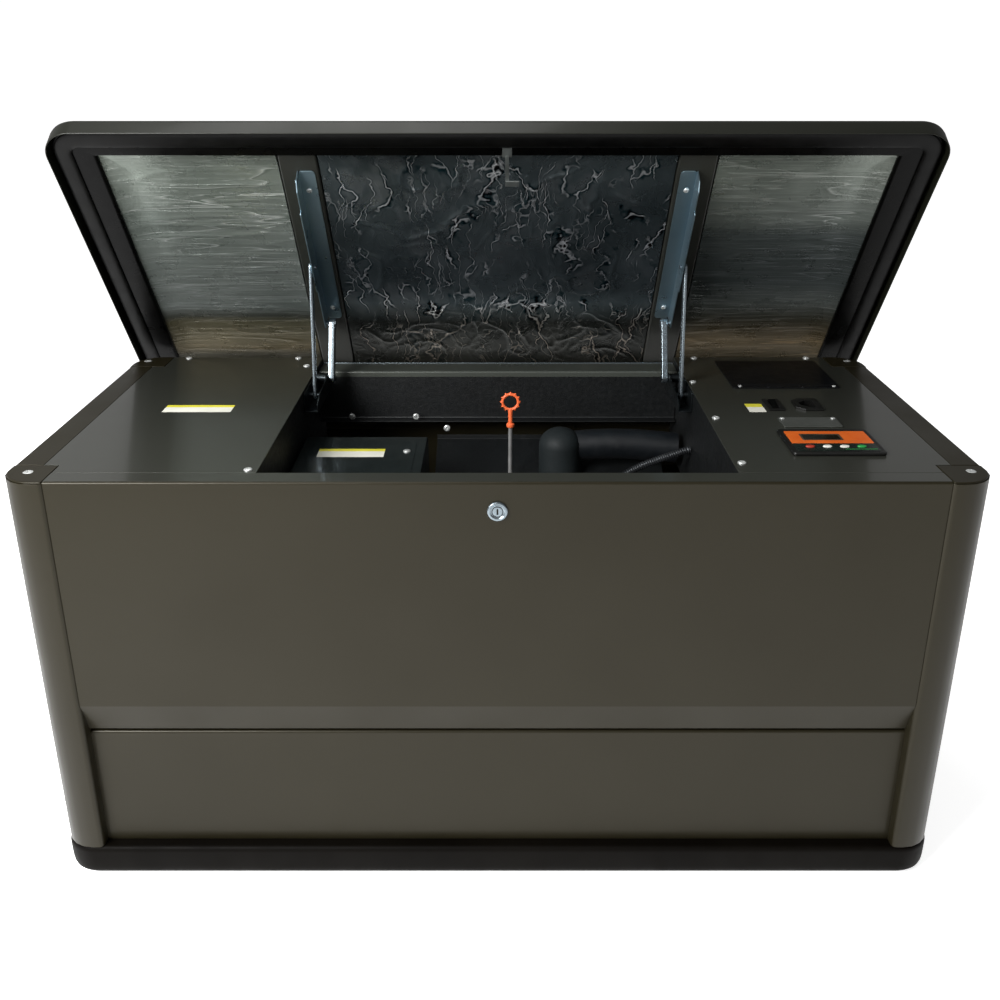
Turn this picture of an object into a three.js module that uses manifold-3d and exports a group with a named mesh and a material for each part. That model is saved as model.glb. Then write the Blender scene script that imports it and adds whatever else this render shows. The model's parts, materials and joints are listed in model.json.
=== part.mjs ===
// Home standby generator: an engine and alternator in a sheet-metal cabinet on a black base tray,
// with a lid that swings open on a pair of arms and guiding rods.
// Millimetres. X to the right, Y to the back, Z up. The origin is the middle of the tray's underside.
import * as THREE from 'three';
import { mergeVertices } from 'three/addons/utils/BufferGeometryUtils.js';
import Module from 'manifold-3d';

const wasm = await Module();
wasm.setup();

// ---------- driving dimensions ----------
const WIDTH = 1190;
const DEPTH = 540;
const TOP = 588;
const TRAY_HEIGHT = 48;
const TRAY_PROUD = 3;
const TRAY_RADIUS = 45;
const TRAY_RIM = 24;
const TRAY_FLOOR = 10;
const POST = 55;
const POST_RADIUS = 42;
const SHEET = 2;
const GAP = 0.3;
const SEAM = 1;
const RECESS = 15;
const BEVEL_TOP = 275;
const BEVEL_FOOT = 229;
const FRONT_FLANGE = 30;
const SIDE_FLANGE = 36;
const BAY_HALF = 292;
const BAY_REAR = 220;
const RAIL_DROP = 10;

const LID_OVERHANG = 7;
const LID_THICKNESS = 30;
const LID_RADIUS = 43;
const LID_SHEET = 2;
const LID_LIP = TOP - 5;
const LID_FRAME_SIDE = 61;
const LID_FRAME_END = 47;
const LID_FRAME_SINK = 13;
const RIB_X = 273;
const RIB_WIDTH = 53;
const RIB_SINK = 20;
const CHANNEL_X = 264;
const CHANNEL_WIDTH = 24;
const CHANNEL_FRONT = -198;
const CHANNEL_REAR = 97;

// The lid opens by this angle, and as a whole it turns about this point.
const LID_OPENING = THREE.MathUtils.degToRad(55);
const LID_POLE = [231, 501];
// Pivots in the (Y, Z) plane. The lid pivots are given with the lid closed.
const ARM_LID_PIVOT_CLOSED = [97, 583];
const ARM_PIVOT_OFFSET = 50;
const ROD_PIVOT = [118, 571];
const ROD_PIN_OPEN = [148.1, 762.1];
const ROD_TURN_RATIO = 0.86;
const ARM_X = 265;
const ROD_X = 280.5;

const CRANK_Y = 20;
const CRANK_Z = 190;
const LOCK_Z = 551;

const FRONT = -DEPTH / 2;
const REAR = DEPTH / 2;
const SIDE = WIDTH / 2;

// ---------- materials ----------
function finish(color, roughness, metalness) {
  return () => new THREE.MeshStandardMaterial({ color, roughness, metalness });
}

const paint = finish(0x45443d, 0.42, 0.3);
const blackPaint = finish(0x101113, 0.5, 0.2);
const blackPlastic = finish(0x1c1814, 0.55, 0);
const rubber = finish(0x0c0c0d, 0.85, 0);
const zinc = finish(0xb9c6cc, 0.3, 1);
const foil = finish(0x8d8f8c, 0.35, 0.9);
const castAlloy = finish(0x8a8c8e, 0.55, 0.9);
const steel = finish(0x77797b, 0.4, 1);
const orange = finish(0xe06a1c, 0.45, 0);

// ---------- solids ----------
function toSolid(geometry) {
  const bare = geometry.index ? geometry.toNonIndexed() : geometry.clone();
  bare.deleteAttribute('normal');
  bare.deleteAttribute('uv');
  const merged = mergeVertices(bare, 1e-4);
  const vertProperties = merged.attributes.position.array;
  const triVerts = new Uint32Array(merged.index.array);
  return new wasm.Manifold(new wasm.Mesh({ numProp: 3, vertProperties, triVerts }));
}

function toGeometry(solid) {
  const { vertProperties, triVerts } = solid.getMesh();
  const geometry = new THREE.BufferGeometry();
  geometry.setAttribute('position', new THREE.BufferAttribute(vertProperties, 3));
  geometry.setIndex(new THREE.BufferAttribute(triVerts, 1));
  geometry.computeVertexNormals();
  return geometry;
}

const join = (...solids) => solids.reduce((whole, next) => whole.add(next));
const cut = (solid, ...tools) => tools.reduce((rest, tool) => rest.subtract(tool), solid);

function block([x0, x1], [y0, y1], [z0, z1]) {
  const geometry = new THREE.BoxGeometry(x1 - x0, y1 - y0, z1 - z0);
  return toSolid(geometry.translate((x0 + x1) / 2, (y0 + y1) / 2, (z0 + z1) / 2));
}

// Rotations that lay a shape drawn in a plane, and extruded across it, along a chosen axis.
const ALONG = {
  x: new THREE.Matrix4().set(0, 0, 1, 0, 1, 0, 0, 0, 0, 1, 0, 0, 0, 0, 0, 1),
  y: new THREE.Matrix4().set(0, 1, 0, 0, 0, 0, 1, 0, 1, 0, 0, 0, 0, 0, 0, 1),
  z: new THREE.Matrix4(),
};

// A disc or bar of round section; centre is given across the axis, in X, Y, Z order.
function round(axis, radius, [a, b], [from, to], sides = 20) {
  const geometry = new THREE.CylinderGeometry(radius, radius, to - from, sides);
  geometry.rotateX(Math.PI / 2).translate(0, 0, (from + to) / 2);
  const centre = { x: [0, a, b], y: [a, 0, b], z: [a, b, 0] }[axis];
  return toSolid(geometry.applyMatrix4(ALONG[axis]).translate(...centre));
}

function outline(points) {
  return new THREE.Shape(points.map(([u, v]) => new THREE.Vector2(u, v)));
}

function extruded(shape, [from, to], axis, curveSegments = 6) {
  const geometry = new THREE.ExtrudeGeometry(shape, { depth: to - from, bevelEnabled: false, curveSegments });
  return toSolid(geometry.translate(0, 0, from).applyMatrix4(ALONG[axis]));
}

// A (Y, Z) outline run along X, or an (X, Z) outline run along Y.
const runX = (points, range) => extruded(outline(points), range, 'x');
const runY = (points, range) => extruded(outline(points.map(([x, z]) => [z, x])), range, 'y');

// The outline of a bent sheet: its outer line, and the same line moved inwards by the thickness.
function bent(points, thickness) {
  const at = points.map(([u, v]) => new THREE.Vector2(u, v));
  const leftOf = (a, b) => new THREE.Vector2(a.y - b.y, b.x - a.x).normalize();
  const inner = at.map((point, i) => {
    const before = leftOf(at[Math.max(i - 1, 0)], at[Math.max(i, 1)]);
    const after = leftOf(at[Math.min(i, at.length - 2)], at[Math.min(i + 1, at.length - 1)]);
    const mitre = before.clone().add(after).normalize();
    return point.clone().addScaledVector(mitre, thickness / mitre.dot(before));
  });
  return [...at, ...inner.reverse()].map((point) => [point.x, point.y]);
}

function roundedRectangle(halfX, halfY, radius) {
  const shape = new THREE.Shape();
  shape.absarc(halfX - radius, halfY - radius, radius, 0, Math.PI / 2);
  shape.absarc(radius - halfX, halfY - radius, radius, Math.PI / 2, Math.PI);
  shape.absarc(radius - halfX, radius - halfY, radius, Math.PI, Math.PI * 1.5);
  shape.absarc(halfX - radius, radius - halfY, radius, Math.PI * 1.5, Math.PI * 2);
  return shape;
}

function slab(halfX, halfY, radius, heights) {
  return extruded(roundedRectangle(halfX, halfY, radius), heights, 'z');
}

function tube(points, radius, steps, sides = 10) {
  const path = new THREE.CatmullRomCurve3(points.map((point) => new THREE.Vector3(...point)));
  const section = new THREE.Shape();
  section.absarc(0, 0, radius, 0, Math.PI * 2);
  const settings = { steps, extrudePath: path, curveSegments: sides / 2 };
  return toSolid(new THREE.ExtrudeGeometry(section, settings));
}

function lathe(profile, axis, [a, b], sides) {
  const geometry = new THREE.LatheGeometry(profile.map(([r, h]) => new THREE.Vector2(r, h)), sides);
  geometry.rotateX(Math.PI / 2);
  const centre = { x: [0, a, b], y: [a, 0, b], z: [a, b, 0] }[axis];
  return toSolid(geometry.applyMatrix4(ALONG[axis]).translate(...centre));
}

function mesh(name, solid, material) {
  const piece = new THREE.Mesh(toGeometry(solid), material());
  piece.name = name;
  return piece;
}

// ---------- cabinet ----------
function baseTray() {
  const halfX = SIDE + TRAY_PROUD;
  const halfY = REAR + TRAY_PROUD;
  const EDGE = 8;
  const foot = slab(halfX - EDGE, halfY - EDGE, TRAY_RADIUS - EDGE, [0, EDGE]);
  const wall = slab(halfX, halfY, TRAY_RADIUS, [EDGE / 2, TRAY_HEIGHT]);
  const wellHeights = [TRAY_FLOOR, TRAY_HEIGHT + 1];
  const well = slab(halfX - TRAY_RIM, halfY - TRAY_RIM, TRAY_RADIUS - TRAY_RIM, wellHeights);
  return mesh('base_tray', cut(join(foot, wall), well), blackPlastic);
}

// A post stands in its own corner: its rounded outer edge faces -X and -Y before it is turned.
function cornerPost(name, signX, signY) {
  const shape = (inset) => {
    const radius = POST_RADIUS - inset;
    const path = new THREE.Shape();
    path.moveTo(POST, inset);
    path.lineTo(POST, POST);
    path.lineTo(inset, POST);
    path.absarc(POST_RADIUS, POST_RADIUS, radius, Math.PI, Math.PI * 1.5);
    return path;
  };
  const heights = [TRAY_HEIGHT + GAP, TOP];
  const RETURN = 20;
  const body = extruded(shape(0), heights, 'z', 8);
  const hollow = extruded(shape(SHEET), [0, TOP - SHEET], 'z', 8);
  const inside = block([SHEET, POST + 1], [SHEET, POST + 1], [0, TOP - SHEET]);
  const keep = block([0, POST], [0, POST], heights);
  const skin = cut(body, hollow.intersect(inside)).intersect(keep);
  const returnHeights = [heights[0], TOP - SHEET / 2];
  const frontReturn = block([POST - SHEET, POST], [SHEET / 2, RETURN], returnHeights);
  const sideReturn = block([SHEET / 2, RETURN], [POST - SHEET, POST], returnHeights);
  const post = mesh(name, join(skin, frontReturn, sideReturn), paint);
  const quarterTurns = { '-1,-1': 0, '1,-1': 1, '1,1': 2, '-1,1': 3 }[`${signX},${signY}`];
  post.rotation.z = quarterTurns * Math.PI / 2;
  post.position.set(signX * SIDE, signY * REAR, 0);
  return post;
}

const PANEL_HALF = SIDE - POST - SEAM;

function frontUpperPanel() {
  const BEND = 3;
  const RETURN = 9;
  const recessed = FRONT + RECESS;
  const line = [
    [recessed + RETURN, BEVEL_FOOT], [recessed, BEVEL_FOOT], [FRONT, BEVEL_TOP],
    [FRONT, TOP - BEND], [FRONT + BEND, TOP], [FRONT + FRONT_FLANGE, TOP],
  ];
  const sheet = runX(bent(line.reverse(), SHEET), [-PANEL_HALF, PANEL_HALF]);
  const lockHole = round('y', 9.6, [0, LOCK_Z], [FRONT - 1, FRONT + SHEET + 1]);
  return mesh('front_upper_panel', cut(sheet, lockHole), paint);
}

function frontLowerPanel() {
  const RETURN = 9;
  const recessed = FRONT + RECESS;
  const top = BEVEL_FOOT - SHEET - SEAM;
  const line = [[recessed + RETURN, top], [recessed, top], [recessed, TRAY_HEIGHT + GAP]];
  return mesh('front_lower_panel', runX(bent(line, SHEET), [-PANEL_HALF, PANEL_HALF]), paint);
}

function sidePanel(name, sign) {
  const BEND = 3;
  const halfLength = REAR - POST - SEAM;
  const line = [
    [-SIDE, TRAY_HEIGHT + GAP], [-SIDE, TOP - BEND], [-SIDE + BEND, TOP], [-SIDE + SIDE_FLANGE, TOP],
  ];
  let panel = runY(bent(line.reverse(), SHEET), [-halfLength, halfLength]);
  const LOUVRES = 9;
  const LOUVRE_PITCH = 20;
  const LOUVRE_HEIGHT = 7;
  const LOUVRE_HALF = 150;
  const LOWEST_LOUVRE = 330;
  const through = [-SIDE - 1, -SIDE + SHEET + 1];
  for (let i = 0; i < LOUVRES; i += 1) {
    const z = LOWEST_LOUVRE + i * LOUVRE_PITCH;
    panel = cut(panel, block(through, [-LOUVRE_HALF, LOUVRE_HALF], [z, z + LOUVRE_HEIGHT]));
  }
  if (sign > 0) {
    panel = cut(panel, round('x', TAIL_PIPE_RADIUS + 6, [-MUFFLER_Y, MUFFLER_Z], through));
  }
  const piece = mesh(name, panel, paint);
  piece.rotation.z = sign > 0 ? Math.PI : 0;
  return piece;
}

function rearPanel() {
  const top = TOP - RAIL_DROP - SHEET - SEAM;
  let panel = block([-PANEL_HALF, PANEL_HALF], [REAR - SHEET, REAR], [TRAY_HEIGHT + GAP, top]);
  const LOUVRES = 8;
  const LOUVRE_PITCH = 22;
  const LOUVRE_HEIGHT = 8;
  const LOWEST_LOUVRE = 330;
  const COLUMNS = [[-310, -130], [130, 310]];
  for (const columnRange of COLUMNS) {
    for (let i = 0; i < LOUVRES; i += 1) {
      const z = LOWEST_LOUVRE + i * LOUVRE_PITCH;
      panel = cut(panel, block(columnRange, [REAR - SHEET - 1, REAR + 1], [z, z + LOUVRE_HEIGHT]));
    }
  }
  const gasHole = round('y', GAS_PIPE_RADIUS + 3, [GAS_X, GAS_Z], [REAR - SHEET - 1, REAR + 1]);
  return mesh('rear_panel', cut(panel, gasHole), paint);
}

function bayRearRail() {
  const railTop = TOP - RAIL_DROP;
  const WALL_FOOT = 500;
  const LEDGE = 16;
  const line = [
    [REAR - SHEET - SEAM, railTop], [BAY_REAR, railTop], [BAY_REAR, WALL_FOOT], [BAY_REAR - LEDGE, WALL_FOOT],
  ];
  const half = BAY_HALF - SEAM;
  return mesh('bay_rear_rail', runX(bent(line, SHEET), [-half, half]), paint);
}

function bayWall(name, sign) {
  const WALL_FOOT = 432;
  const x = [BAY_HALF + GAP, BAY_HALF + GAP + SHEET].map((value) => value * sign).sort((a, b) => a - b);
  const wall = block(x, [FRONT + RECESS, REAR - 5], [WALL_FOOT, TOP - SHEET - GAP]);
  return mesh(name, wall, blackPaint);
}

// One cover plate, notched round the two post tops, with a turned-down rear edge.
function topCoverBlank(sign) {
  const inner = BAY_HALF * sign;
  const outer = (SIDE - SIDE_FLANGE - SEAM / 2) * sign;
  const along = [inner, outer].sort((a, b) => a - b);
  const plate = block(along, [FRONT + FRONT_FLANGE + SEAM, REAR], [TOP - SHEET, TOP]);
  const lip = block(along, [REAR - SHEET, REAR], [TOP - RAIL_DROP - SHEET, TOP]);
  const notch = (y) => {
    const ends = [(SIDE - POST - SEAM) * sign, (SIDE + 1) * sign].sort((a, b) => a - b);
    return block(ends, y, [0, TOP + 1]);
  };
  const reach = REAR - POST - SEAM;
  return cut(join(plate, lip), notch([FRONT - 1, -reach]), notch([reach, REAR + 1]));
}

const topCoverLeft = () => mesh('top_cover_left', topCoverBlank(-1), paint);

const CONTROLLER_X = [372, 491];
const CONTROLLER_Y = [-185, -96];
const HATCH_X = [355, 517];
const HATCH_Y = [96, 242];
const INLET_X = [425, 463];
const INLET_Y = [-8, 42];
const BREAKER_X = [385, 408];
const BREAKER_Y = [-8, 40];
const ON_COVER = TOP + GAP;
const grown = ([low, high], by) => [low - by, high + by];

function topCoverRight() {
  const through = [TOP - SHEET - 1, TOP + 1];
  const openings = [
    [CONTROLLER_X, CONTROLLER_Y, -6], [HATCH_X, HATCH_Y, -8],
    [INLET_X, INLET_Y, -5], [BREAKER_X, BREAKER_Y, -3],
  ];
  const tools = openings.map(([x, y, by]) => block(grown(x, by), grown(y, by), through));
  return mesh('top_cover_right', cut(topCoverBlank(1), ...tools), paint);
}

function terminalHatch() {
  return mesh('terminal_hatch', block(HATCH_X, HATCH_Y, [ON_COVER, ON_COVER + 1.5]), blackPaint);
}

function blankPlate() {
  return mesh('blank_plate', block([388, 468], [-78, -40], [ON_COVER, ON_COVER + 1.5]), castAlloy);
}

// ---------- controls ----------
const BEZEL_HEIGHT = 5;
const BUTTON_X = [399, 421, 443, 465];
const BUTTON_Y = -163;
const BUTTON_HALF = [6, 4];
const BUTTON_TRAVEL = 1.5;

function buttonShape(x, by) {
  const [halfX, halfY] = BUTTON_HALF.map((value) => value + by);
  const shape = new THREE.Shape();
  shape.absellipse(x, BUTTON_Y, halfX, halfY, 0, Math.PI * 2);
  return shape;
}

function controllerHousing() {
  const BODY_DEPTH = 55;
  const top = ON_COVER + BEZEL_HEIGHT;
  const bezel = block(CONTROLLER_X, CONTROLLER_Y, [ON_COVER, top]);
  const body = block(grown(CONTROLLER_X, -7), grown(CONTROLLER_Y, -7), [ON_COVER - BODY_DEPTH, ON_COVER + 1]);
  const pockets = BUTTON_X.map((x) => extruded(buttonShape(x, 0.4), [ON_COVER - 2, top + 1], 'z', 5));
  return mesh('controller_housing', cut(join(bezel, body), ...pockets), blackPlastic);
}

function controllerButton(index) {
  const top = ON_COVER + BEZEL_HEIGHT + 1;
  const foot = ON_COVER - 2 + BUTTON_TRAVEL + GAP;
  const cap = extruded(buttonShape(BUTTON_X[index], 0), [foot, top], 'z', 5);
  return mesh(`controller_button_${index + 1}`, cap, rubber);
}

function inletSocket() {
  const FLANGE = 2.5;
  const DEEP = 28;
  const CORNER = 11;
  const hexagon = (by) => {
    const [x0, x1] = grown(INLET_X, by);
    const [y0, y1] = grown(INLET_Y, by);
    return [[x0 + CORNER, y0], [x1, y0], [x1, y1], [x0 + CORNER, y1], [x0, y1 - CORNER], [x0, y0 + CORNER]];
  };
  const flange = extruded(outline(hexagon(0)), [ON_COVER, ON_COVER + FLANGE], 'z');
  const body = extruded(outline(hexagon(-6)), [ON_COVER - DEEP, ON_COVER + 1], 'z');
  const well = extruded(outline(hexagon(-9)), [ON_COVER - DEEP + 4, ON_COVER + FLANGE + 1], 'z');
  const midX = (INLET_X[0] + INLET_X[1]) / 2;
  const midY = (INLET_Y[0] + INLET_Y[1]) / 2;
  const pins = [-9, 0, 9].map((offset) => {
    const heights = [ON_COVER - DEEP + 3, ON_COVER - 6];
    return block([midX - 2, midX + 2], [midY + offset - 1, midY + offset + 1], heights);
  });
  return mesh('inlet_socket', join(cut(join(flange, body), well), ...pins), blackPlastic);
}

function breakerFrame() {
  const DEEP = 30;
  const flange = block(BREAKER_X, BREAKER_Y, [ON_COVER, ON_COVER + 2]);
  const body = block(grown(BREAKER_X, -4), grown(BREAKER_Y, -4), [ON_COVER - DEEP, ON_COVER + 1]);
  const well = block(grown(BREAKER_X, -6), grown(BREAKER_Y, -6), [ON_COVER - DEEP + 4, ON_COVER + 3]);
  return mesh('breaker_frame', cut(join(flange, body), well), blackPlastic);
}

// The rocker lies with its front end down at rest and tilts about X.
function breakerRocker() {
  const half = 17;
  const y = (BREAKER_Y[0] + BREAKER_Y[1]) / 2;
  const z = ON_COVER - 6;
  const side = [
    [y - half, z + 6], [y - half, z - 1], [y, z - 8],
    [y + half - 3, z - 1], [y + half - 3, z + 11], [y, z + 7],
  ];
  return mesh('breaker_rocker', runX(side, grown(BREAKER_X, -6.5)), rubber);
}

function lockHousing() {
  const ring = round('y', 12.5, [0, LOCK_Z], [FRONT - 3.3, FRONT - GAP], 24);
  const barrel = round('y', 9, [0, LOCK_Z], [FRONT - 2, FRONT + 32], 24);
  const bore = round('y', 6.7, [0, LOCK_Z], [FRONT - 5, FRONT + 34], 24);
  return mesh('lock_housing', cut(join(ring, barrel), bore), zinc);
}

function lockPlug() {
  const barrel = round('y', 6.2, [0, LOCK_Z], [FRONT - 3, FRONT + 35], 24);
  const keySlot = block([-1, 1], [FRONT - 4, FRONT + 6], [LOCK_Z - 4, LOCK_Z + 4]);
  const cam = block([-8, 8], [FRONT + 34, FRONT + 36.4], [LOCK_Z - 8, LOCK_Z + 30]);
  return mesh('lock_plug', join(cut(barrel, keySlot), cam), zinc);
}

// ---------- lid, drawn closed ----------
const LID_HALF_X = SIDE + LID_OVERHANG;
const LID_HALF_Y = REAR + LID_OVERHANG;
const LID_TOP = LID_LIP + LID_THICKNESS;
const LID_ROOF = LID_TOP - LID_SHEET;
const FRAME_FACE = LID_LIP + LID_FRAME_SINK;
const RIB_FACE = LID_LIP + RIB_SINK;

function lidShell() {
  const EDGE = 4;
  const wall = slab(LID_HALF_X, LID_HALF_Y, LID_RADIUS, [LID_LIP, LID_TOP - EDGE]);
  const crownHeights = [LID_TOP - 2 * EDGE, LID_TOP];
  const crown = slab(LID_HALF_X - EDGE, LID_HALF_Y - EDGE, LID_RADIUS - EDGE, crownHeights);
  const clear = [LID_HALF_X - LID_SHEET, LID_HALF_Y - LID_SHEET, LID_RADIUS - LID_SHEET];
  const inside = slab(...clear, [0, LID_TOP - 2 * EDGE]);
  const inset = EDGE + LID_SHEET;
  const roofHeights = [LID_TOP - 3 * EDGE, LID_ROOF];
  const roof = slab(LID_HALF_X - inset, LID_HALF_Y - inset, LID_RADIUS - inset, roofHeights);
  return mesh('lid_shell', cut(join(wall, crown), inside, roof), paint);
}

// A pressed ring with two ribs across it, open towards the lid's roof.
function lidInnerFrame() {
  const REACH = 6.5;
  const roof = LID_ROOF - GAP;
  const outerX = LID_HALF_X - REACH;
  const outerY = LID_HALF_Y - REACH;
  const innerX = LID_HALF_X - LID_FRAME_SIDE;
  const innerY = LID_HALF_Y - LID_FRAME_END;
  const full = slab(outerX, outerY, LID_RADIUS - REACH, [FRAME_FACE, roof]);
  const field = block([-innerX, innerX], [-innerY, innerY], [FRAME_FACE - 1, roof + 1]);
  const troughHeights = [FRAME_FACE + SHEET, roof + 1];
  const trough = slab(outerX - SHEET, outerY - SHEET, LID_RADIUS - REACH - SHEET, troughHeights);
  const keepIn = block([-innerX - SHEET, innerX + SHEET], [-innerY - SHEET, innerY + SHEET], [0, roof + 2]);
  const ring = cut(full, field, cut(trough, keepIn));
  const ribs = [-1, 1].map((sign) => {
    const x0 = sign * RIB_X - RIB_WIDTH / 2;
    const x1 = x0 + RIB_WIDTH;
    const line = [[x0, roof], [x0, RIB_FACE], [x1, RIB_FACE], [x1, roof]];
    return runY(bent(line, SHEET), [-innerY - SHEET / 2, innerY + SHEET / 2]);
  });
  return mesh('lid_inner_frame', join(ring, ...ribs), paint);
}

function lidGasket() {
  const [halfX, halfY, width, radius] = [594, 269, 24, 36];
  const heights = [TOP + 0.6, FRAME_FACE - GAP];
  const outer = slab(halfX, halfY, radius, heights);
  const inner = slab(halfX - width, halfY - width, radius - width, [0, LID_TOP]);
  return mesh('lid_gasket', cut(outer, inner), rubber);
}

function lidPad(name, x) {
  const halfY = LID_HALF_Y - LID_FRAME_END - 3;
  return mesh(name, block(x, [-halfY, halfY], [RIB_FACE + 1, LID_ROOF - GAP]), foil);
}

// ---------- lid stays ----------
const turned = ([u, v], [centreU, centreV], angle) => {
  const at = new THREE.Vector2(u, v).rotateAround(new THREE.Vector2(centreU, centreV), angle);
  return [at.x, at.y];
};
const ARM_LID_PIVOT = turned(ARM_LID_PIVOT_CLOSED, LID_POLE, -LID_OPENING);

// The arm's cabinet pivot is equally far from its lid pivot open and closed.
function armPivot() {
  const closed = new THREE.Vector2(...ARM_LID_PIVOT_CLOSED);
  const open = new THREE.Vector2(...ARM_LID_PIVOT);
  const across = open.clone().sub(closed).normalize();
  const middle = open.clone().add(closed).multiplyScalar(0.5);
  const at = middle.add(new THREE.Vector2(across.y, -across.x).multiplyScalar(ARM_PIVOT_OFFSET));
  return [at.x, at.y];
}
const ARM_PIVOT = armPivot();
const bearing = ([u, v], [toU, toV]) => Math.atan2(toV - v, toU - u);
const ARM_TURN = bearing(ARM_PIVOT, ARM_LID_PIVOT_CLOSED) - bearing(ARM_PIVOT, ARM_LID_PIVOT);
const LID_ON_ARM_RATIO = (LID_OPENING - ARM_TURN) / ARM_TURN;

// Where the rod's upper pin lies in the closed lid's frame, when the arms have turned by a fraction.
function pinInLid(fraction) {
  const turn = fraction * ARM_TURN;
  const pin = turned(ROD_PIN_OPEN, ROD_PIVOT, turn * ROD_TURN_RATIO);
  const beforeArm = turned(pin, ARM_PIVOT, -turn);
  const beforeLid = turned(beforeArm, ARM_LID_PIVOT, -turn * LID_ON_ARM_RATIO);
  return turned(beforeLid, LID_POLE, LID_OPENING);
}

const PIN_RADIUS = 3.5;
const PIN_SLACK = 0.8;
const PIVOT_RADIUS = 4;

// A long hole with round ends, along the pin's path in the lid.
function pinSlot(x) {
  const STEPS = 8;
  const holes = [];
  for (let i = 0; i <= STEPS; i += 1) {
    holes.push(pinInLid(i / STEPS));
  }
  const radius = PIN_RADIUS + PIN_SLACK;
  const pieces = holes.slice(1).map((to, i) => {
    const [from, angle] = [holes[i], bearing(holes[i], to)];
    const shape = new THREE.Shape();
    shape.absarc(from[0], from[1], radius, angle + Math.PI / 2, angle + Math.PI * 1.5);
    shape.absarc(to[0], to[1], radius, angle - Math.PI / 2, angle + Math.PI / 2);
    return extruded(shape, x, 'x', 6);
  });
  return join(...pieces);
}

// An angle under a lid rib: the arm pins to its rear end, and the rod's pin slides in its outer wall.
function lidChannel(name, sign) {
  const x0 = CHANNEL_X - CHANNEL_WIDTH / 2;
  const x1 = CHANNEL_X + CHANNEL_WIDTH / 2;
  const WALL = 1.6;
  const web = RIB_FACE - GAP;
  const LOW = 574;
  const angle = runY(bent([[x1, LOW], [x1, web], [x0, web]], WALL), [CHANNEL_FRONT, CHANNEL_REAR + 8]);
  const deepWall = block([x1 - WALL, x1], [pinInLid(1)[0] - 14, pinInLid(0)[0] + 14], [LOW - 6, LOW + 1]);
  const pivotHole = round('x', PIVOT_RADIUS + GAP, ARM_LID_PIVOT_CLOSED, [x0 - 1, x1 + 1], 16);
  const solid = cut(join(angle, deepWall), pivotHole, pinSlot([x1 - WALL - 1, x1 + 1]));
  return mirrored(name, solid, sign, zinc);
}

// Pieces of the right-hand stay are drawn at +X, and the left-hand ones are their mirror images.
function mirrored(name, solid, sign, material) {
  const piece = mesh(name, solid, material);
  if (sign < 0) {
    piece.geometry.scale(-1, 1, 1);
    const order = piece.geometry.index.array;
    for (let i = 0; i < order.length; i += 3) {
      [order[i + 1], order[i + 2]] = [order[i + 2], order[i + 1]];
    }
    piece.geometry.computeVertexNormals();
  }
  return piece;
}

function bar(from, to, radius, x) {
  const angle = bearing(from, to);
  const shape = new THREE.Shape();
  shape.absarc(from[0], from[1], radius, angle + Math.PI / 2, angle + Math.PI * 1.5);
  shape.absarc(to[0], to[1], radius, angle - Math.PI / 2, angle + Math.PI / 2);
  return extruded(shape, x, 'x', 8);
}

// The arm is drawn with the lid open; its upper pin reaches through the channel's wall.
function lidArm(name, sign) {
  const thickness = [ARM_X - 4.5, ARM_X + 4.5];
  const plate = bar(ARM_PIVOT, ARM_LID_PIVOT, 8, thickness);
  const hole = round('x', PIVOT_RADIUS + GAP, ARM_PIVOT, grown(thickness, 1), 16);
  const reach = [ARM_X - 6, CHANNEL_X + CHANNEL_WIDTH / 2 + 0.6];
  const pin = round('x', PIVOT_RADIUS, ARM_LID_PIVOT, reach, 16);
  return mirrored(name, join(cut(plate, hole), pin), sign, zinc);
}

function lidRod(name, sign) {
  const thickness = [ROD_X - 2.5, ROD_X + 2.5];
  const plate = bar(ROD_PIVOT, ROD_PIN_OPEN, 7, thickness);
  const hole = round('x', PIVOT_RADIUS + GAP, ROD_PIVOT, grown(thickness, 1), 16);
  const inner = CHANNEL_X + CHANNEL_WIDTH / 2 - 4;
  const pin = round('x', PIN_RADIUS, ROD_PIN_OPEN, [inner, ROD_X], 16);
  return mirrored(name, join(cut(plate, hole), pin), sign, zinc);
}

// A U-shaped bracket on the bay wall, with a pin for the arm and one for the rod.
function hingeBracket(name, sign) {
  const outer = BAY_HALF - GAP;
  const inner = 270.5;
  const WALL = 1.8;
  const FOOT = 556;
  const side = [[78, FOOT], [200, FOOT], [200, 584], [172, 586], [150, 580], [100, 578], [78, 568]];
  const wallSide = [[78, FOOT], [200, FOOT], [200, 585], [78, 585]];
  const innerWall = runX(side, [inner, inner + WALL]);
  const outerWall = runX(wallSide, [outer - WALL, outer]);
  const floor = block([inner, outer], [78, 200], [FOOT, FOOT + WALL]);
  const armPin = round('x', PIVOT_RADIUS, ARM_PIVOT, [ARM_X - 6, outer - 1], 16);
  const spacer = round('x', PIVOT_RADIUS + 3, ARM_PIVOT, [inner, outer - 1], 16);
  const rodPin = round('x', PIVOT_RADIUS, ROD_PIVOT, [inner, outer - 1], 16);
  return mirrored(name, join(innerWall, outerWall, floor, armPin, spacer, rodPin), sign, zinc);
}

// The striker hangs from the lid's front frame, and the cam turns over its lip.
function lockStriker() {
  const LIP_Z = 538.5;
  const foot = block([6, 19], [-244, -228.5], [FRAME_FACE - GAP - 2.5, FRAME_FACE - GAP]);
  const leg = block([10, 15], [-231, -228.5], [LIP_Z - 2.5, FRAME_FACE - GAP]);
  const lip = block([10, 28], [-236.5, -228.5], [LIP_Z - 2.5, LIP_Z]);
  return mesh('lock_striker', join(foot, leg, lip), zinc);
}

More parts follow.
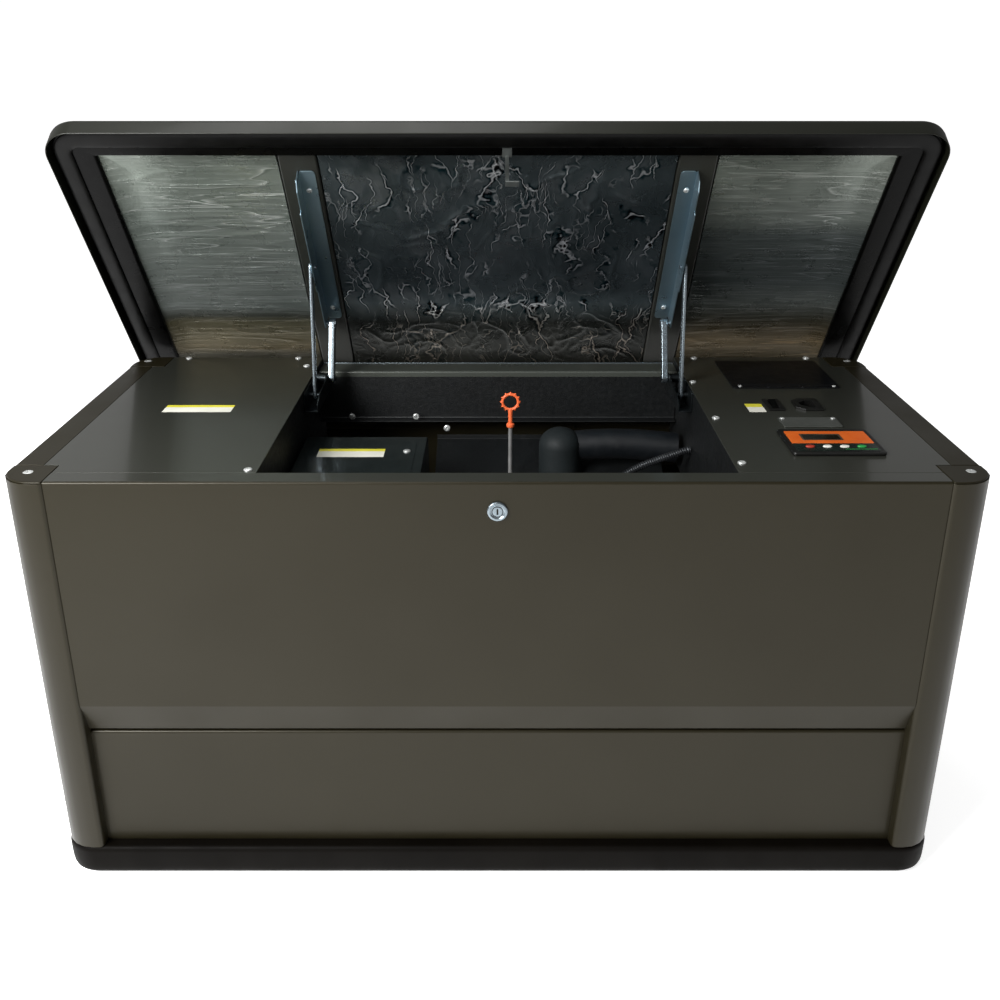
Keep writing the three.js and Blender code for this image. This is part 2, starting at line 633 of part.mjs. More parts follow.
// ---------- engine, alternator and what they need ----------
const HEAD_ANGLE = Math.PI / 4;
const ALTERNATOR = { radius: 120, from: -470, to: -214 };
const SHROUD = { radius: 140, from: 154, to: 258 };
const MUFFLER_X = 455;
const MUFFLER_Y = -30;
const MUFFLER_Z = 190;
const TAIL_PIPE_RADIUS = 22;
const GAS_X = -380;
const GAS_Z = 420;
const GAS_PIPE_RADIUS = 13;
const MOUNT_TOP = 60;
const MOUNT_PLACES = [[-380, -70], [-380, 110], [90, -60], [90, 100]];
const DIPSTICK = { x: 19, y: 105, tubeTop: 523, ring: 564, tubeRadius: 3, boreRadius: 2.3 };
const BATTERY_FOOT = TRAY_FLOOR + GAP;

function engineFoot([x, y], top) {
  return block([x - 18, x + 18], [y - 18, y + 18], [MOUNT_TOP + GAP, top]);
}

// A solid drawn upright over the crank axis, then leaned to the front or the back.
function leaned(solidGeometry, angle) {
  return toSolid(solidGeometry.rotateX(angle).translate(0, CRANK_Y, CRANK_Z));
}

const CYLINDERS = { front: { x: -37, angle: HEAD_ANGLE }, rear: { x: -62, angle: -HEAD_ANGLE } };

function engineBlock() {
  const caseBox = block([-210, 148], [CRANK_Y - 100, CRANK_Y + 100], [90, 285]);
  const barrels = Object.values(CYLINDERS).map(({ x, angle }) => {
    const barrel = new THREE.CylinderGeometry(50, 50, 140, 20);
    return leaned(barrel.rotateX(Math.PI / 2).translate(x, 0, 135), angle);
  });
  const crankBore = round('x', 40, [CRANK_Y, CRANK_Z], [-230, 160], 24);
  const { x: dipX, y: dipY, tubeTop, tubeRadius, boreRadius } = DIPSTICK;
  const dipTube = round('z', tubeRadius, [dipX, dipY], [270, tubeTop], 12);
  const dipBore = round('z', boreRadius, [dipX, dipY], [255, tubeTop + 1], 12);
  const feet = MOUNT_PLACES.slice(2).map((place) => engineFoot(place, 95));
  const solid = cut(join(caseBox, ...barrels, dipTube, ...feet), crankBore, dipBore);
  return mesh('engine_block', solid, castAlloy);
}

function cylinderHead(name, { x, angle }) {
  const head = new THREE.BoxGeometry(120, 112, 50).translate(x, 0, 205 + GAP + 25);
  const cover = new THREE.BoxGeometry(90, 80, 16).translate(x, 0, 205 + GAP + 56);
  return mesh(name, join(leaned(head, angle), leaned(cover, angle)), castAlloy);
}

function crankshaftRotor() {
  const profile = [
    [0, -478], [12, -478], [12, -430], [86, -430], [86, -250], [14, -250], [14, -120], [34, -120], [34, -100],
    [14, -100], [14, 60], [34, 60], [34, 80], [14, 80], [14, 160], [12, 160], [12, 190], [0, 190],
  ];
  return mesh('crankshaft_rotor', lathe(profile, 'x', [CRANK_Y, CRANK_Z], 20), steel);
}

function flywheelFan() {
  const BLADES = 10;
  const profile = [[12.3, 175], [28, 175], [28, 192], [115, 192], [115, 200], [28, 200], [12.3, 200]];
  let fan = lathe([...profile, profile[0]], 'x', [CRANK_Y, CRANK_Z], 20);
  for (let i = 0; i < BLADES; i += 1) {
    const blade = new THREE.BoxGeometry(36, 4, 60).translate(216, 0, 82);
    const turn = (i / BLADES) * Math.PI * 2;
    fan = join(fan, toSolid(blade.rotateX(turn).translate(0, CRANK_Y, CRANK_Z)));
  }
  return mesh('flywheel_fan', fan, castAlloy);
}

function fanShroud() {
  const { radius, from, to } = SHROUD;
  const wall = 3;
  const profile = [
    [45, from], [radius, from], [radius, to], [90, to], [90, to - wall],
    [radius - wall, to - wall], [radius - wall, from + wall], [45, from + wall],
  ];
  return mesh('fan_shroud', lathe([...profile, profile[0]], 'x', [CRANK_Y, CRANK_Z], 24), blackPaint);
}

function alternatorStator() {
  const { radius, from, to } = ALTERNATOR;
  const profile = [
    [12.4, from], [radius, from], [radius, to], [92, to], [92, from + 18], [12.4, from + 18],
  ];
  const shell = lathe([...profile, profile[0]], 'x', [CRANK_Y, CRANK_Z], 24);
  const feet = MOUNT_PLACES.slice(0, 2).map((place) => engineFoot(place, 125));
  const bore = round('x', 100, [CRANK_Y, CRANK_Z], [-400, -360], 24);
  return mesh('alternator_stator', join(shell, ...feet.map((foot) => cut(foot, bore))), castAlloy);
}

function rubberMount(index) {
  const solid = round('z', 22, MOUNT_PLACES[index], [TRAY_FLOOR + GAP, MOUNT_TOP], 16);
  return mesh(`rubber_mount_${index + 1}`, solid, rubber);
}

function airCleanerBox() {
  const [x0, x1] = [-288, -106];
  const [y0, y1] = [-232, 74];
  const LOW = 432;
  const HIGH = 521;
  const SLOPE = 16;
  const side = [[y0, LOW], [y1 + SLOPE, LOW], [y1, HIGH - 8], [y1 - 8, HIGH], [y0 + 8, HIGH], [y0, HIGH - 8]];
  return mesh('air_cleaner_box', runX(side, [x0, x1]), blackPlastic);
}

function intakeHose() {
  const route = [
    [96, 132, 330], [96, 132, 460], [104, 132, 494], [136, 134, 505], [200, 138, 492], [282, 140, 476],
  ];
  return mesh('intake_hose', tube(route, 30, 22, 12), rubber);
}

function conduit() {
  const route = [
    [290, 62, 502], [274, 61, 498], [205, 60, 470], [158, 58, 430], [128, 54, 360], [124, 52, 286],
  ];
  return mesh('conduit', tube(route, 6, 24, 8), steel);
}

// The stick hangs in its tube from a cap with a finger loop.
function dipstick() {
  const { x, y, tubeTop, ring } = DIPSTICK;
  const loop = new THREE.TorusGeometry(12, 3, 8, 20).rotateX(Math.PI / 2);
  const loopSolid = toSolid(loop.translate(x, y, ring));
  const cap = round('z', 6.5, [x, y], [tubeTop + GAP, tubeTop + 9], 16);
  const stem = round('z', 4.2, [x, y], [tubeTop + 8, ring - 10], 12);
  const blade = block([x - 1.5, x + 1.5], [y - 0.6, y + 0.6], [262, tubeTop + 2]);
  return mesh('dipstick', join(loopSolid, cap, stem, blade), orange);
}

function muffler() {
  const can = round('y', 80, [MUFFLER_X, MUFFLER_Z], [-190, 150], 24);
  const tail = round('x', TAIL_PIPE_RADIUS, [MUFFLER_Y, MUFFLER_Z], [MUFFLER_X, SIDE - 3], 16);
  const tailBore = round('x', TAIL_PIPE_RADIUS - 3, [MUFFLER_Y, MUFFLER_Z], [MUFFLER_X, SIDE + 1], 16);
  const hollow = round('y', 77, [MUFFLER_X, MUFFLER_Z], [-187, 147], 24);
  const downRoute = [[40, -200, 318], [40, -200, 290], [120, -196, 260], [300, -180, 230], [440, -150, 210]];
  const down = tube(downRoute, 16, 22);
  return mesh('muffler', cut(join(can, tail, down), hollow, tailBore), steel);
}

function battery() {
  const box = block([-520, -325], [-244, -116], [BATTERY_FOOT, 190]);
  const posts = [-495, -350].map((x) => round('z', 8, [x, -140], [188, 204], 12));
  return mesh('battery', join(box, ...posts), blackPlastic);
}

function gasRegulator() {
  const body = round('y', 62, [GAS_X, GAS_Z], [150, 176], 24);
  const dome = round('y', 40, [GAS_X, GAS_Z], [120, 160], 24);
  const inlet = round('y', GAS_PIPE_RADIUS, [GAS_X, GAS_Z], [170, REAR + 10], 16);
  const bore = round('y', GAS_PIPE_RADIUS - 3, [GAS_X, GAS_Z], [230, REAR + 12], 16);
  return mesh('gas_regulator', cut(join(body, dome, inlet), bore), castAlloy);
}

// ---------- assembly ----------
function cabinet() {
  return new THREE.Group().add(
    baseTray(),
    cornerPost('post_front_left', -1, -1),
    cornerPost('post_front_right', 1, -1),
    cornerPost('post_rear_left', -1, 1),
    cornerPost('post_rear_right', 1, 1),
    frontUpperPanel(),
    frontLowerPanel(),
    sidePanel('side_panel_left', -1),
    sidePanel('side_panel_right', 1),
    rearPanel(),
    bayRearRail(),
    bayWall('bay_wall_left', -1),
    bayWall('bay_wall_right', 1),
    topCoverLeft(),
    topCoverRight(),
    terminalHatch(),
    blankPlate(),
  );
}

function controls() {
  return new THREE.Group().add(
    controllerHousing(),
    ...BUTTON_X.map((_, index) => controllerButton(index)),
    inletSocket(),
    breakerFrame(),
    breakerRocker(),
    lockHousing(),
    lockPlug(),
  );
}

// The lid is drawn closed and swung open about its pole.
function lid() {
  const padEdge = RIB_X + RIB_WIDTH / 2 + 2;
  const padEnd = LID_HALF_X - LID_FRAME_SIDE - 3;
  const padInner = RIB_X - RIB_WIDTH / 2 - 2;
  const closed = new THREE.Group().add(
    lidShell(),
    lidInnerFrame(),
    lidGasket(),
    lidPad('lid_pad_left', [-padEnd, -padEdge]),
    lidPad('lid_pad_centre', [-padInner, padInner]),
    lidPad('lid_pad_right', [padEdge, padEnd]),
    lidChannel('lid_channel_left', -1),
    lidChannel('lid_channel_right', 1),
    lockStriker(),
  );
  closed.position.set(0, -LID_POLE[0], -LID_POLE[1]);
  const swung = new THREE.Group().add(closed);
  swung.position.set(0, ...LID_POLE);
  swung.rotation.x = -LID_OPENING;
  return swung;
}

function lidStays() {
  return new THREE.Group().add(
    lidArm('lid_arm_left', -1),
    lidArm('lid_arm_right', 1),
    lidRod('lid_rod_left', -1),
    lidRod('lid_rod_right', 1),
    hingeBracket('hinge_bracket_left', -1),
    hingeBracket('hinge_bracket_right', 1),
  );
}

function powerUnit() {
  return new THREE.Group().add(
    engineBlock(),
    cylinderHead('cylinder_head_front', CYLINDERS.front),
    cylinderHead('cylinder_head_rear', CYLINDERS.rear),
    crankshaftRotor(),
    flywheelFan(),
    fanShroud(),
    alternatorStator(),
    ...MOUNT_PLACES.map((_, index) => rubberMount(index)),
    airCleanerBox(),
    intakeHose(),
    conduit(),
    dipstick(),
    muffler(),
    battery(),
    gasRegulator(),
  );
}

const generator = new THREE.Group().add(cabinet(), controls(), lid(), lidStays(), powerUnit());

export default generator;
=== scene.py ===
import json
from math import atan2, copysign, cos, pi, radians, sin, sqrt, tan

import bmesh
import bpy
from mathutils import Matrix, Vector, noise


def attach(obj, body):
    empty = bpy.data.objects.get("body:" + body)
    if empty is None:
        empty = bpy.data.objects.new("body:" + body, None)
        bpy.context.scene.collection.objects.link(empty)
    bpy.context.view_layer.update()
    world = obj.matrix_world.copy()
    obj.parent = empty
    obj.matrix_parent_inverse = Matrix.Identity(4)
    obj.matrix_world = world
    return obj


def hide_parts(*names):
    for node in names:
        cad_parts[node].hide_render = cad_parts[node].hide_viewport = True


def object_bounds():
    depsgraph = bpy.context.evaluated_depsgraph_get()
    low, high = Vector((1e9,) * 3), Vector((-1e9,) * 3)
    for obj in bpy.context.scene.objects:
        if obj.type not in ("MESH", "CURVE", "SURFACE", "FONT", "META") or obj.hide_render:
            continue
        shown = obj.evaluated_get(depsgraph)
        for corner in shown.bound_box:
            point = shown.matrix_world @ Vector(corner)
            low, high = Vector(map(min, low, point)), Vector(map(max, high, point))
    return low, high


# Home standby generator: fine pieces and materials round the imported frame.
# X to the right, Y to the back, Z up. Shapes are drawn in millimetres and made in metres.
# Pieces of the lid are drawn closed, and the open lid's matrix places them.

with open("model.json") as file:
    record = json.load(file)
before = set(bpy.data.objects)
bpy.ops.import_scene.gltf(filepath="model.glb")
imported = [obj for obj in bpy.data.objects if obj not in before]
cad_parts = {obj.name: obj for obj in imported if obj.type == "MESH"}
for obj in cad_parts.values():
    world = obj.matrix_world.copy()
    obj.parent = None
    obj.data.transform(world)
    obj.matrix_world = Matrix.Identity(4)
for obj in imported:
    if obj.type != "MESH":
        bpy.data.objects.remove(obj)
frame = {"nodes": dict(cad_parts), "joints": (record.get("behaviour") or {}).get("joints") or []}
cad_low, cad_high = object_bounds()

MM = 0.001
LID_OPENING = radians(55)
LID_POLE = Vector((0, 231, 501)) * MM
TO_POLE = Matrix.Translation(LID_POLE)
LID_OPEN = TO_POLE @ Matrix.Rotation(-LID_OPENING, 4, "X") @ TO_POLE.inverted()
SHEET = 2
SEAM = 1


def span(node, placed=Matrix.Identity(4)):
    """A CAD node's (low, high) along X, Y and Z in millimetres, before it was placed."""
    back = placed.inverted()
    points = [back @ v.co for v in frame["nodes"][node].data.vertices]
    return [(min(p[k] for p in points) / MM, max(p[k] for p in points) / MM) for k in range(3)]


def middle(pair):
    return (pair[0] + pair[1]) / 2


def inset(pair, near, far=None):
    """A (low, high) pair drawn in at both ends."""
    return (pair[0] + near, pair[1] - (near if far is None else far))


# ---------- outlines ----------
def rounded(points, radius, closed=False, steps=5):
    """A line with each corner turned into an arc; radius is one number, or one for each point."""
    count = len(points)
    radii = radius if isinstance(radius, (list, tuple)) else [radius] * count
    made = []
    for i, point in enumerate(points):
        here = Vector(point)
        if radii[i] <= 0 or (not closed and i in (0, count - 1)):
            made.append(tuple(here))
            continue
        before = (Vector(points[i - 1]) - here).normalized()
        after = (Vector(points[(i + 1) % count]) - here).normalized()
        half = before.angle(after) / 2
        reach = radii[i] / tan(half)
        centre = here + (before + after).normalized() * (radii[i] / sin(half))
        start = here + before * reach - centre
        turn = start.angle_signed(here + after * reach - centre)
        for step in range(steps + 1):
            angle = -turn * step / steps
            c, s = cos(angle), sin(angle)
            made.append((centre.x + start.x * c - start.y * s, centre.y + start.x * s + start.y * c))
    return made


def offset_line(points, distance):
    """The same line moved to its left."""
    made = []
    for i, point in enumerate(points):
        sides = []
        for a, b in ((i - 1, i), (i, i + 1)):
            if a >= 0 and b < len(points):
                along = (Vector(points[b]) - Vector(points[a])).normalized()
                sides.append(Vector((-along.y, along.x)))
        mitre = sum(sides, Vector((0, 0))).normalized()
        made.append(tuple(Vector(point) + mitre * (distance / mitre.dot(sides[0]))))
    return made


def bent_sheet(line, bend, thickness=SHEET):
    """The section of a bent sheet: a rounded line and the same line moved by the thickness."""
    outer = rounded(line, bend)
    return outer + offset_line(outer, thickness)[::-1]


def rounded_rectangle(half_x, half_y, radius, centre=(0, 0), steps=8):
    x, y = centre
    corners = [(x + u * half_x, y + v * half_y) for u, v in ((1, 1), (-1, 1), (-1, -1), (1, -1))]
    return rounded(corners, max(radius, 0.1), closed=True, steps=steps)


def box_outline(x, y, radius):
    half_x, half_y = (x[1] - x[0]) / 2, (y[1] - y[0]) / 2
    return rounded_rectangle(half_x, half_y, radius, (middle(x), middle(y)), steps=4)


def circle(radius, centre=(0, 0), sides=40, squash=1.0):
    turns = [2 * pi * i / sides for i in range(sides)]
    return [(centre[0] + radius * cos(t), centre[1] + radius * squash * sin(t)) for t in turns]


def long_hole(start, end, radius, sides=12):
    """An outline with round ends, from one point to another."""
    along = Vector(end) - Vector(start)
    heading = atan2(along.y, along.x)
    made = []
    for centre, first in ((start, heading + pi / 2), (end, heading - pi / 2)):
        for i in range(sides + 1):
            angle = first + pi * i / sides
            made.append((centre[0] + radius * cos(angle), centre[1] + radius * sin(angle)))
    return made


# ---------- meshes ----------
AXES = {
    "x": Matrix(((0, 0, 1), (1, 0, 0), (0, 1, 0))),
    "y": Matrix(((1, 0, 0), (0, 0, 1), (0, 1, 0))),
    "z": Matrix.Identity(3),
}


def moved(bm, place=(0, 0, 0), turn=Matrix.Identity(3)):
    """A mesh turned, or scaled, by a matrix and then moved to a place."""
    bmesh.ops.transform(bm, matrix=Matrix.Translation(place) @ turn.to_4x4(), verts=bm.verts)
    return bm


def oriented(bm):
    bmesh.ops.recalc_face_normals(bm, faces=bm.faces)
    return bm


def loft(rings, loop=False):
    """A closed skin over rings of points. A loop joins the last ring to the first."""
    bm = bmesh.new()
    rows = [[bm.verts.new(point) for point in ring] for ring in rings]
    pairs = list(zip(rows, rows[1:])) + ([(rows[-1], rows[0])] if loop else [])
    count = len(rows[0])
    for low, high in pairs:
        for i in range(count):
            j = (i + 1) % count
            bm.faces.new((low[i], low[j], high[j], high[i]))
    if not loop:
        bm.faces.new(rows[0][::-1])
        bm.faces.new(rows[-1])
    return oriented(bm)


def prism(outline, reach, axis):
    """An outline run along an axis, from one end of its reach to the other."""
    turn = AXES[axis]
    return loft([[turn @ Vector((u, v, w)) for u, v in outline] for w in reach])


def linked(name, data):
    """A new object in the scene."""
    obj = bpy.data.objects.new(name, data)
    bpy.context.scene.collection.objects.link(obj)
    return obj


def mesh_of(name, bm):
    """A mesh datablock made of an edited mesh, which is freed."""
    made = bpy.data.meshes.new(name)
    bm.to_mesh(made)
    bm.free()
    return made


def evaluated(obj):
    """An edited mesh of an object as its modifiers leave it."""
    made = bpy.data.meshes.new_from_object(obj.evaluated_get(bpy.context.evaluated_depsgraph_get()))
    bm = bmesh.new()
    bm.from_mesh(made)
    bpy.data.meshes.remove(made)
    return bm


def plate(outline, reach, axis="z", holes=(), edge=0.5):
    """A flat plate with holes and rounded edges."""
    curve = bpy.data.curves.new("plate", "CURVE")
    curve.dimensions = "2D"
    curve.fill_mode = "BOTH"
    curve.extrude = (reach[1] - reach[0]) / 2 - edge
    curve.bevel_depth = edge
    curve.bevel_resolution = 1
    curve.offset = -edge
    for points in [outline, *holes]:
        spline = curve.splines.new("POLY")
        spline.points.add(len(points) - 1)
        for place, (u, v) in zip(spline.points, points):
            place.co = (u, v, 0, 1)
        spline.use_cyclic_u = True
    holder = linked("plate", curve)
    bm = evaluated(holder)
    bpy.data.objects.remove(holder)
    bpy.data.curves.remove(curve)
    bmesh.ops.remove_doubles(bm, verts=bm.verts, dist=1e-4)
    return oriented(moved(moved(bm, (0, 0, middle(reach))), turn=AXES[axis]))


def lathe(profile, axis, centre, sides=40, loop=False):
    """A profile of (radius, height) points turned round an axis, its ends capped or joined by a loop."""
    turn = AXES[axis]
    return loft([[turn @ Vector((u, v, h)) for u, v in circle(r, centre, sides)] for r, h in profile], loop)


def frame_loft(half, radius, profile):
    """Rings for a loft: a profile of (inset, height) points taken round a rounded rectangle."""
    rings = []
    for inset, z in profile:
        inset_x, inset_y = inset if isinstance(inset, tuple) else (inset, inset)
        size = (half[0] - inset_x, half[1] - inset_y)
        ring = rounded_rectangle(*size, max(radius - inset_x, 3), steps=12)
        rings.append([(u, v, z) for u, v in ring])
    return rings


def smooth_route(points, steps):
    """A curve through the points, with an even number of steps between each two."""
    ends = [Vector(points[0]) * 2 - Vector(points[1]), Vector(points[-1]) * 2 - Vector(points[-2])]
    knots = [ends[0], *map(Vector, points), ends[1]]
    made = []
    for a, b, c, d in zip(knots, knots[1:], knots[2:], knots[3:]):
        for i in range(steps):
            t = i / steps
            bend = (2 * a - 5 * b + 4 * c - d) * t * t + (3 * b - a - 3 * c + d) * t**3
            made.append(0.5 * (2 * b + (c - a) * t + bend))
    return made + [Vector(points[-1])]


def evenly(points, pitch):
    """Points at one pitch along a polyline."""
    made, left = [points[0]], pitch
    for a, b in zip(points, points[1:]):
        length = (b - a).length
        at = left
        while at <= length:
            made.append(a.lerp(b, at / length))
            at += pitch
        left = at - length
    return made


def tube(route, radius_at, sides=24):
    """A tube along a route; radius_at gives its radius at a distance along it and a turn round it."""
    rings, travelled = [], 0.0
    side = Vector((0, 0, 1)).orthogonal()
    for i, point in enumerate(route):
        ahead = route[min(i + 1, len(route) - 1)] - route[max(i - 1, 0)]
        along = ahead.normalized()
        side = (side - along * side.dot(along)).normalized()
        other = along.cross(side)
        travelled += (point - route[max(i - 1, 0)]).length
        ring = []
        for k in range(sides):
            turn = 2 * pi * k / sides
            radius = radius_at(travelled, turn)
            ring.append(point + (side * cos(turn) + other * sin(turn)) * radius)
        rings.append(ring)
    return loft(rings)


def merged(*parts):
    """Several closed meshes as one."""
    whole = bmesh.new()
    for part in parts:
        made = mesh_of("part", part)
        whole.from_mesh(made)
        bpy.data.meshes.remove(made)
    return whole


def carved(bm, *cutters):
    """A mesh with the cutters' room taken out of it."""
    objects = [linked("part", mesh_of("part", part)) for part in (bm, merged(*cutters))]
    cut = objects[0].modifiers.new("cut", "BOOLEAN")
    cut.object = objects[1]
    cut.operation = "DIFFERENCE"
    cut.solver = "EXACT"
    cut.use_self = True
    whole = evaluated(objects[0])
    for obj in objects:
        bpy.data.meshes.remove(obj.data)
    return whole


def mirrored_x(bm):
    return oriented(moved(bm, turn=Matrix.Diagonal((-1, 1, 1))))


def soften(obj, width, crease, keep_sharp):
    """Rounds an object's edges that turn by more than crease degrees, and evens its shading."""
    if width > 0:
        bevel = obj.modifiers.new("edge", "BEVEL")
        bevel.width = width * MM
        bevel.segments = 2
        bevel.limit_method = "ANGLE"
        bevel.angle_limit = radians(crease)
    normals = obj.modifiers.new("normals", "WEIGHTED_NORMAL")
    normals.keep_sharp = keep_sharp


def piece(name, bm, look, stands_for=(), body="cabinet", edge=0.0, crease=35):
    """Makes an object of the mesh, in metres, with soft edges, and lets it ride on its CAD body."""
    made = mesh_of(name, moved(bm, turn=Matrix.Identity(3) * MM))
    made.shade_smooth()
    made.set_sharp_from_angle(angle=radians(crease))
    made.materials.append(look)
    obj = linked(name, made)
    soften(obj, edge, crease, edge == 0)
    obj.matrix_world = LID_OPEN if body == "lid" else Matrix.Identity(4)
    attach(obj, body)
    if stands_for:
        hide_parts(*stands_for)
    return obj


# ---------- materials ----------
def tone(colour):
    """A colour given as display values from 0 to 255, as the shader takes it."""
    return tuple((value / 255) ** 2.2 for value in colour)


def feed(tree, node, inputs):
    """Gives a node's inputs a value each, or another node's output."""
    for key, value in inputs.items():
        if isinstance(value, bpy.types.NodeSocket):
            tree.links.new(value, node.inputs[key])
        else:
            node.inputs[key].default_value = value


def add_node(tree, kind, inputs, **settings):
    node = tree.nodes.new("ShaderNode" + kind)
    for name, value in settings.items():
        setattr(node, name, value)
    feed(tree, node, inputs)
    return node


def ramped(tree, source, stops):
    """A value turned into a colour; each stop is (position, colour) or (position, grey level)."""
    ramp = add_node(tree, "ValToRGB", {"Fac": source})
    elements = ramp.color_ramp.elements
    while len(elements) < len(stops):
        elements.new(0.5)
    for element, (position, shade) in zip(elements, stops):
        element.position = position
        element.color = (*shade, 1) if isinstance(shade, tuple) else (shade, shade, shade, 1)
    return ramp.outputs["Color"]


def surface(name, tones, roughness, metallic, patch, grain, bump, wave=0.0, coat=0.0, specular=0.5,
            spread=0.06):
    """Patches of two tones, uneven gloss, a fine grain and, where asked, a slow wave. Patch and grain are
    noise scales; bump and wave are the grain's and the wave's heights in millimetres."""
    made = bpy.data.materials.new(name)
    made.use_nodes = True
    tree = made.node_tree
    place = add_node(tree, "TexCoord", {}).outputs["Object"]

    def noise_at(scale, detail):
        inputs = {"Vector": place, "Scale": scale, "Detail": detail}
        return add_node(tree, "TexNoise", inputs).outputs["Fac"]

    def bumped(height, source):
        return add_node(tree, "Bump", {"Strength": 1, "Distance": height * MM, "Height": source})

    patches = ramped(tree, noise_at(patch, 5), [(0.35, tone(tones[0])), (0.68, tone(tones[1]))])
    gloss = add_node(tree, "MapRange", {
        "Value": noise_at(patch * 5, 4), "From Min": 0.3, "From Max": 0.7,
        "To Min": max(roughness - spread, 0.02), "To Max": roughness + spread,
    })
    fine = bumped(bump, noise_at(grain, 3))
    if wave:
        feed(tree, fine, {"Normal": bumped(wave, noise_at(3, 1)).outputs["Normal"]})
    feed(tree, tree.nodes["Principled BSDF"], {
        "Base Color": patches, "Metallic": metallic, "Roughness": gloss.outputs["Result"],
        "Normal": fine.outputs["Normal"], "Specular IOR Level": specular, "Coat Weight": coat,
        "Coat Roughness": 0.12,
    })
    return made


PAINT = surface("cabinet_paint", ((38, 35, 25), (42, 39, 29)), 0.38, 0.3, 1.6, 1400, 0.01,
    wave=0.35, coat=0.04, specular=0.22)
# Painted light: a light grey paint for the bay rail's top, lighter than the cabinet paint as where the top
# catches the light.
RAIL_LIGHT_PAINT = surface("rail_light_paint", ((70, 73, 68), (76, 79, 74)), 0.3, 0.3, 1.6, 1400, 0.01,
    coat=0.5)
# Painted light: a lighter, greyer copy of the cabinet paint for the top faces, as where they catch the light
# and reflect the sky.
LIT_TOP_PAINT = surface("lit_top_paint", ((54, 55, 50), (56, 57, 52)), 0.3, 0.3, 1.6, 1400,
    0.004, wave=0.35, coat=0.6, specular=0.3, spread=0.02)
LID_PAINT = surface("lid_paint", ((27, 28, 22), (29, 30, 24)), 0.42, 0.25, 2, 1400, 0.004,
    coat=0.1, specular=0.3)
RIB_PAINT = surface("rib_paint", ((36, 37, 33), (41, 42, 38)), 0.45, 0.3, 4, 1400, 0.015)
BLACK_PAINT = surface("bay_black_paint", ((9, 12, 13), (14, 17, 18)), 0.5, 0.1, 30, 420, 0.25)
GLOSS_BLACK = surface("gloss_black_plastic", ((30, 34, 34), (38, 42, 42)), 0.2, 0, 9, 700,
    0.02)
HATCH_BLACK = surface("hatch_black", ((16, 17, 19), (22, 23, 25)), 0.34, 0.1, 12, 1600, 0.03,
    specular=0.3)
TRAY_PLASTIC = surface("tray_plastic", ((13, 11, 8), (17, 15, 12)), 0.55, 0, 7, 1100, 0.05,
    specular=0.06)
RIM_BLACK = surface("lid_rim_black", ((6, 6, 6), (9, 9, 8)), 0.3, 0, 9, 900, 0.03,
    specular=0.08)
RUBBER = surface("black_rubber", ((6, 6, 6), (10, 10, 9)), 0.4, 0, 14, 800, 0.05,
    specular=0.12)
HOSE_RUBBER = surface("hose_rubber", ((27, 31, 32), (34, 38, 39)), 0.62, 0, 18, 600, 0.06,
    specular=0.2)
# Painted shade: a darker copy of the hose rubber for the run, which lies behind the riser, deeper in the
# bay.
RUN_SHADED_RUBBER = surface("run_shaded_rubber", ((16, 19, 22), (22, 25, 28)), 0.45, 0, 18, 600, 0.06)
DARK_ZINC = surface("dark_zinc", ((46, 50, 52), (66, 71, 73)), 0.32, 0.9, 30, 500, 0.03)
STRIKER_ZINC = surface("striker_zinc", ((84, 88, 86), (106, 110, 108)), 0.34, 0.8, 30, 500, 0.03)
ZINC = surface("zinc_plate", ((134, 158, 170), (152, 174, 184)), 0.3, 0.9, 9, 500, 0.01, spread=0.03)
BRIGHT_ZINC = surface("bright_zinc", ((122, 132, 138), (142, 152, 158)), 0.26, 0.9, 9, 500, 0.01,
    spread=0.03)
SCREW = surface("screw_steel", ((186, 188, 186), (214, 216, 214)), 0.3, 0.6, 60, 900, 0.02)
CAST = surface("cast_alloy", ((92, 94, 96), (122, 124, 126)), 0.6, 0.8, 20, 380, 0.25)
CONDUIT_STEEL = surface("conduit_steel", ((44, 46, 48), (64, 66, 68)), 0.4, 0.7, 22, 700, 0.06)
STEEL = surface("brushed_steel", ((98, 98, 100), (130, 130, 132)), 0.42, 1.0, 22, 700, 0.06)
TUBE_STEEL = surface("tube_steel", ((166, 166, 164), (192, 192, 190)), 0.36, 0.7, 22, 700, 0.03)
ORANGE = surface("orange_plastic", ((216, 96, 54), (228, 108, 64)), 0.42, 0, 40, 1300,
    0.04)
PANEL_ORANGE = surface("panel_orange", ((192, 84, 24), (206, 98, 36)), 0.4, 0, 25, 1600,
    0.02)
PANEL_DARK = surface("panel_dark", ((20, 27, 24), (28, 35, 31)), 0.3, 0, 30, 1600, 0.02)
SCREEN = surface("screen_glass", ((26, 24, 18), (36, 32, 24)), 0.12, 0, 40, 900, 0.0,
    coat=0.6)
SCREEN_RIM = surface("screen_rim", ((66, 56, 46), (82, 70, 58)), 0.35, 0.3, 40, 1200, 0.02)
BLACK_PLASTIC = surface("black_plastic", ((15, 15, 14), (21, 21, 19)), 0.4, 0, 16, 1200,
    0.05)
GREY_PLATE = surface("blank_grey", ((82, 84, 80), (92, 94, 90)), 0.45, 0.5, 30, 900, 0.04)
LABEL_WHITE = surface("label_white", ((206, 205, 192), (220, 218, 206)), 0.5, 0, 30, 1500,
    0.01)
LABEL_YELLOW = surface("label_yellow", ((196, 188, 52), (212, 204, 66)), 0.5, 0, 30, 1500,
    0.01)
KEY_TONES = {
    "key_red": ((150, 48, 34), (166, 58, 42)),
    "key_white_1": ((196, 196, 188), (212, 212, 204)),
    "key_white_2": ((196, 196, 188), (212, 212, 204)),
    "key_green": ((34, 128, 60), (44, 142, 70)),
}
KEY_LOOKS = [
    surface(name, tones, 0.45, 0, 60, 1200, 0.03) for name, tones in KEY_TONES.items()
]


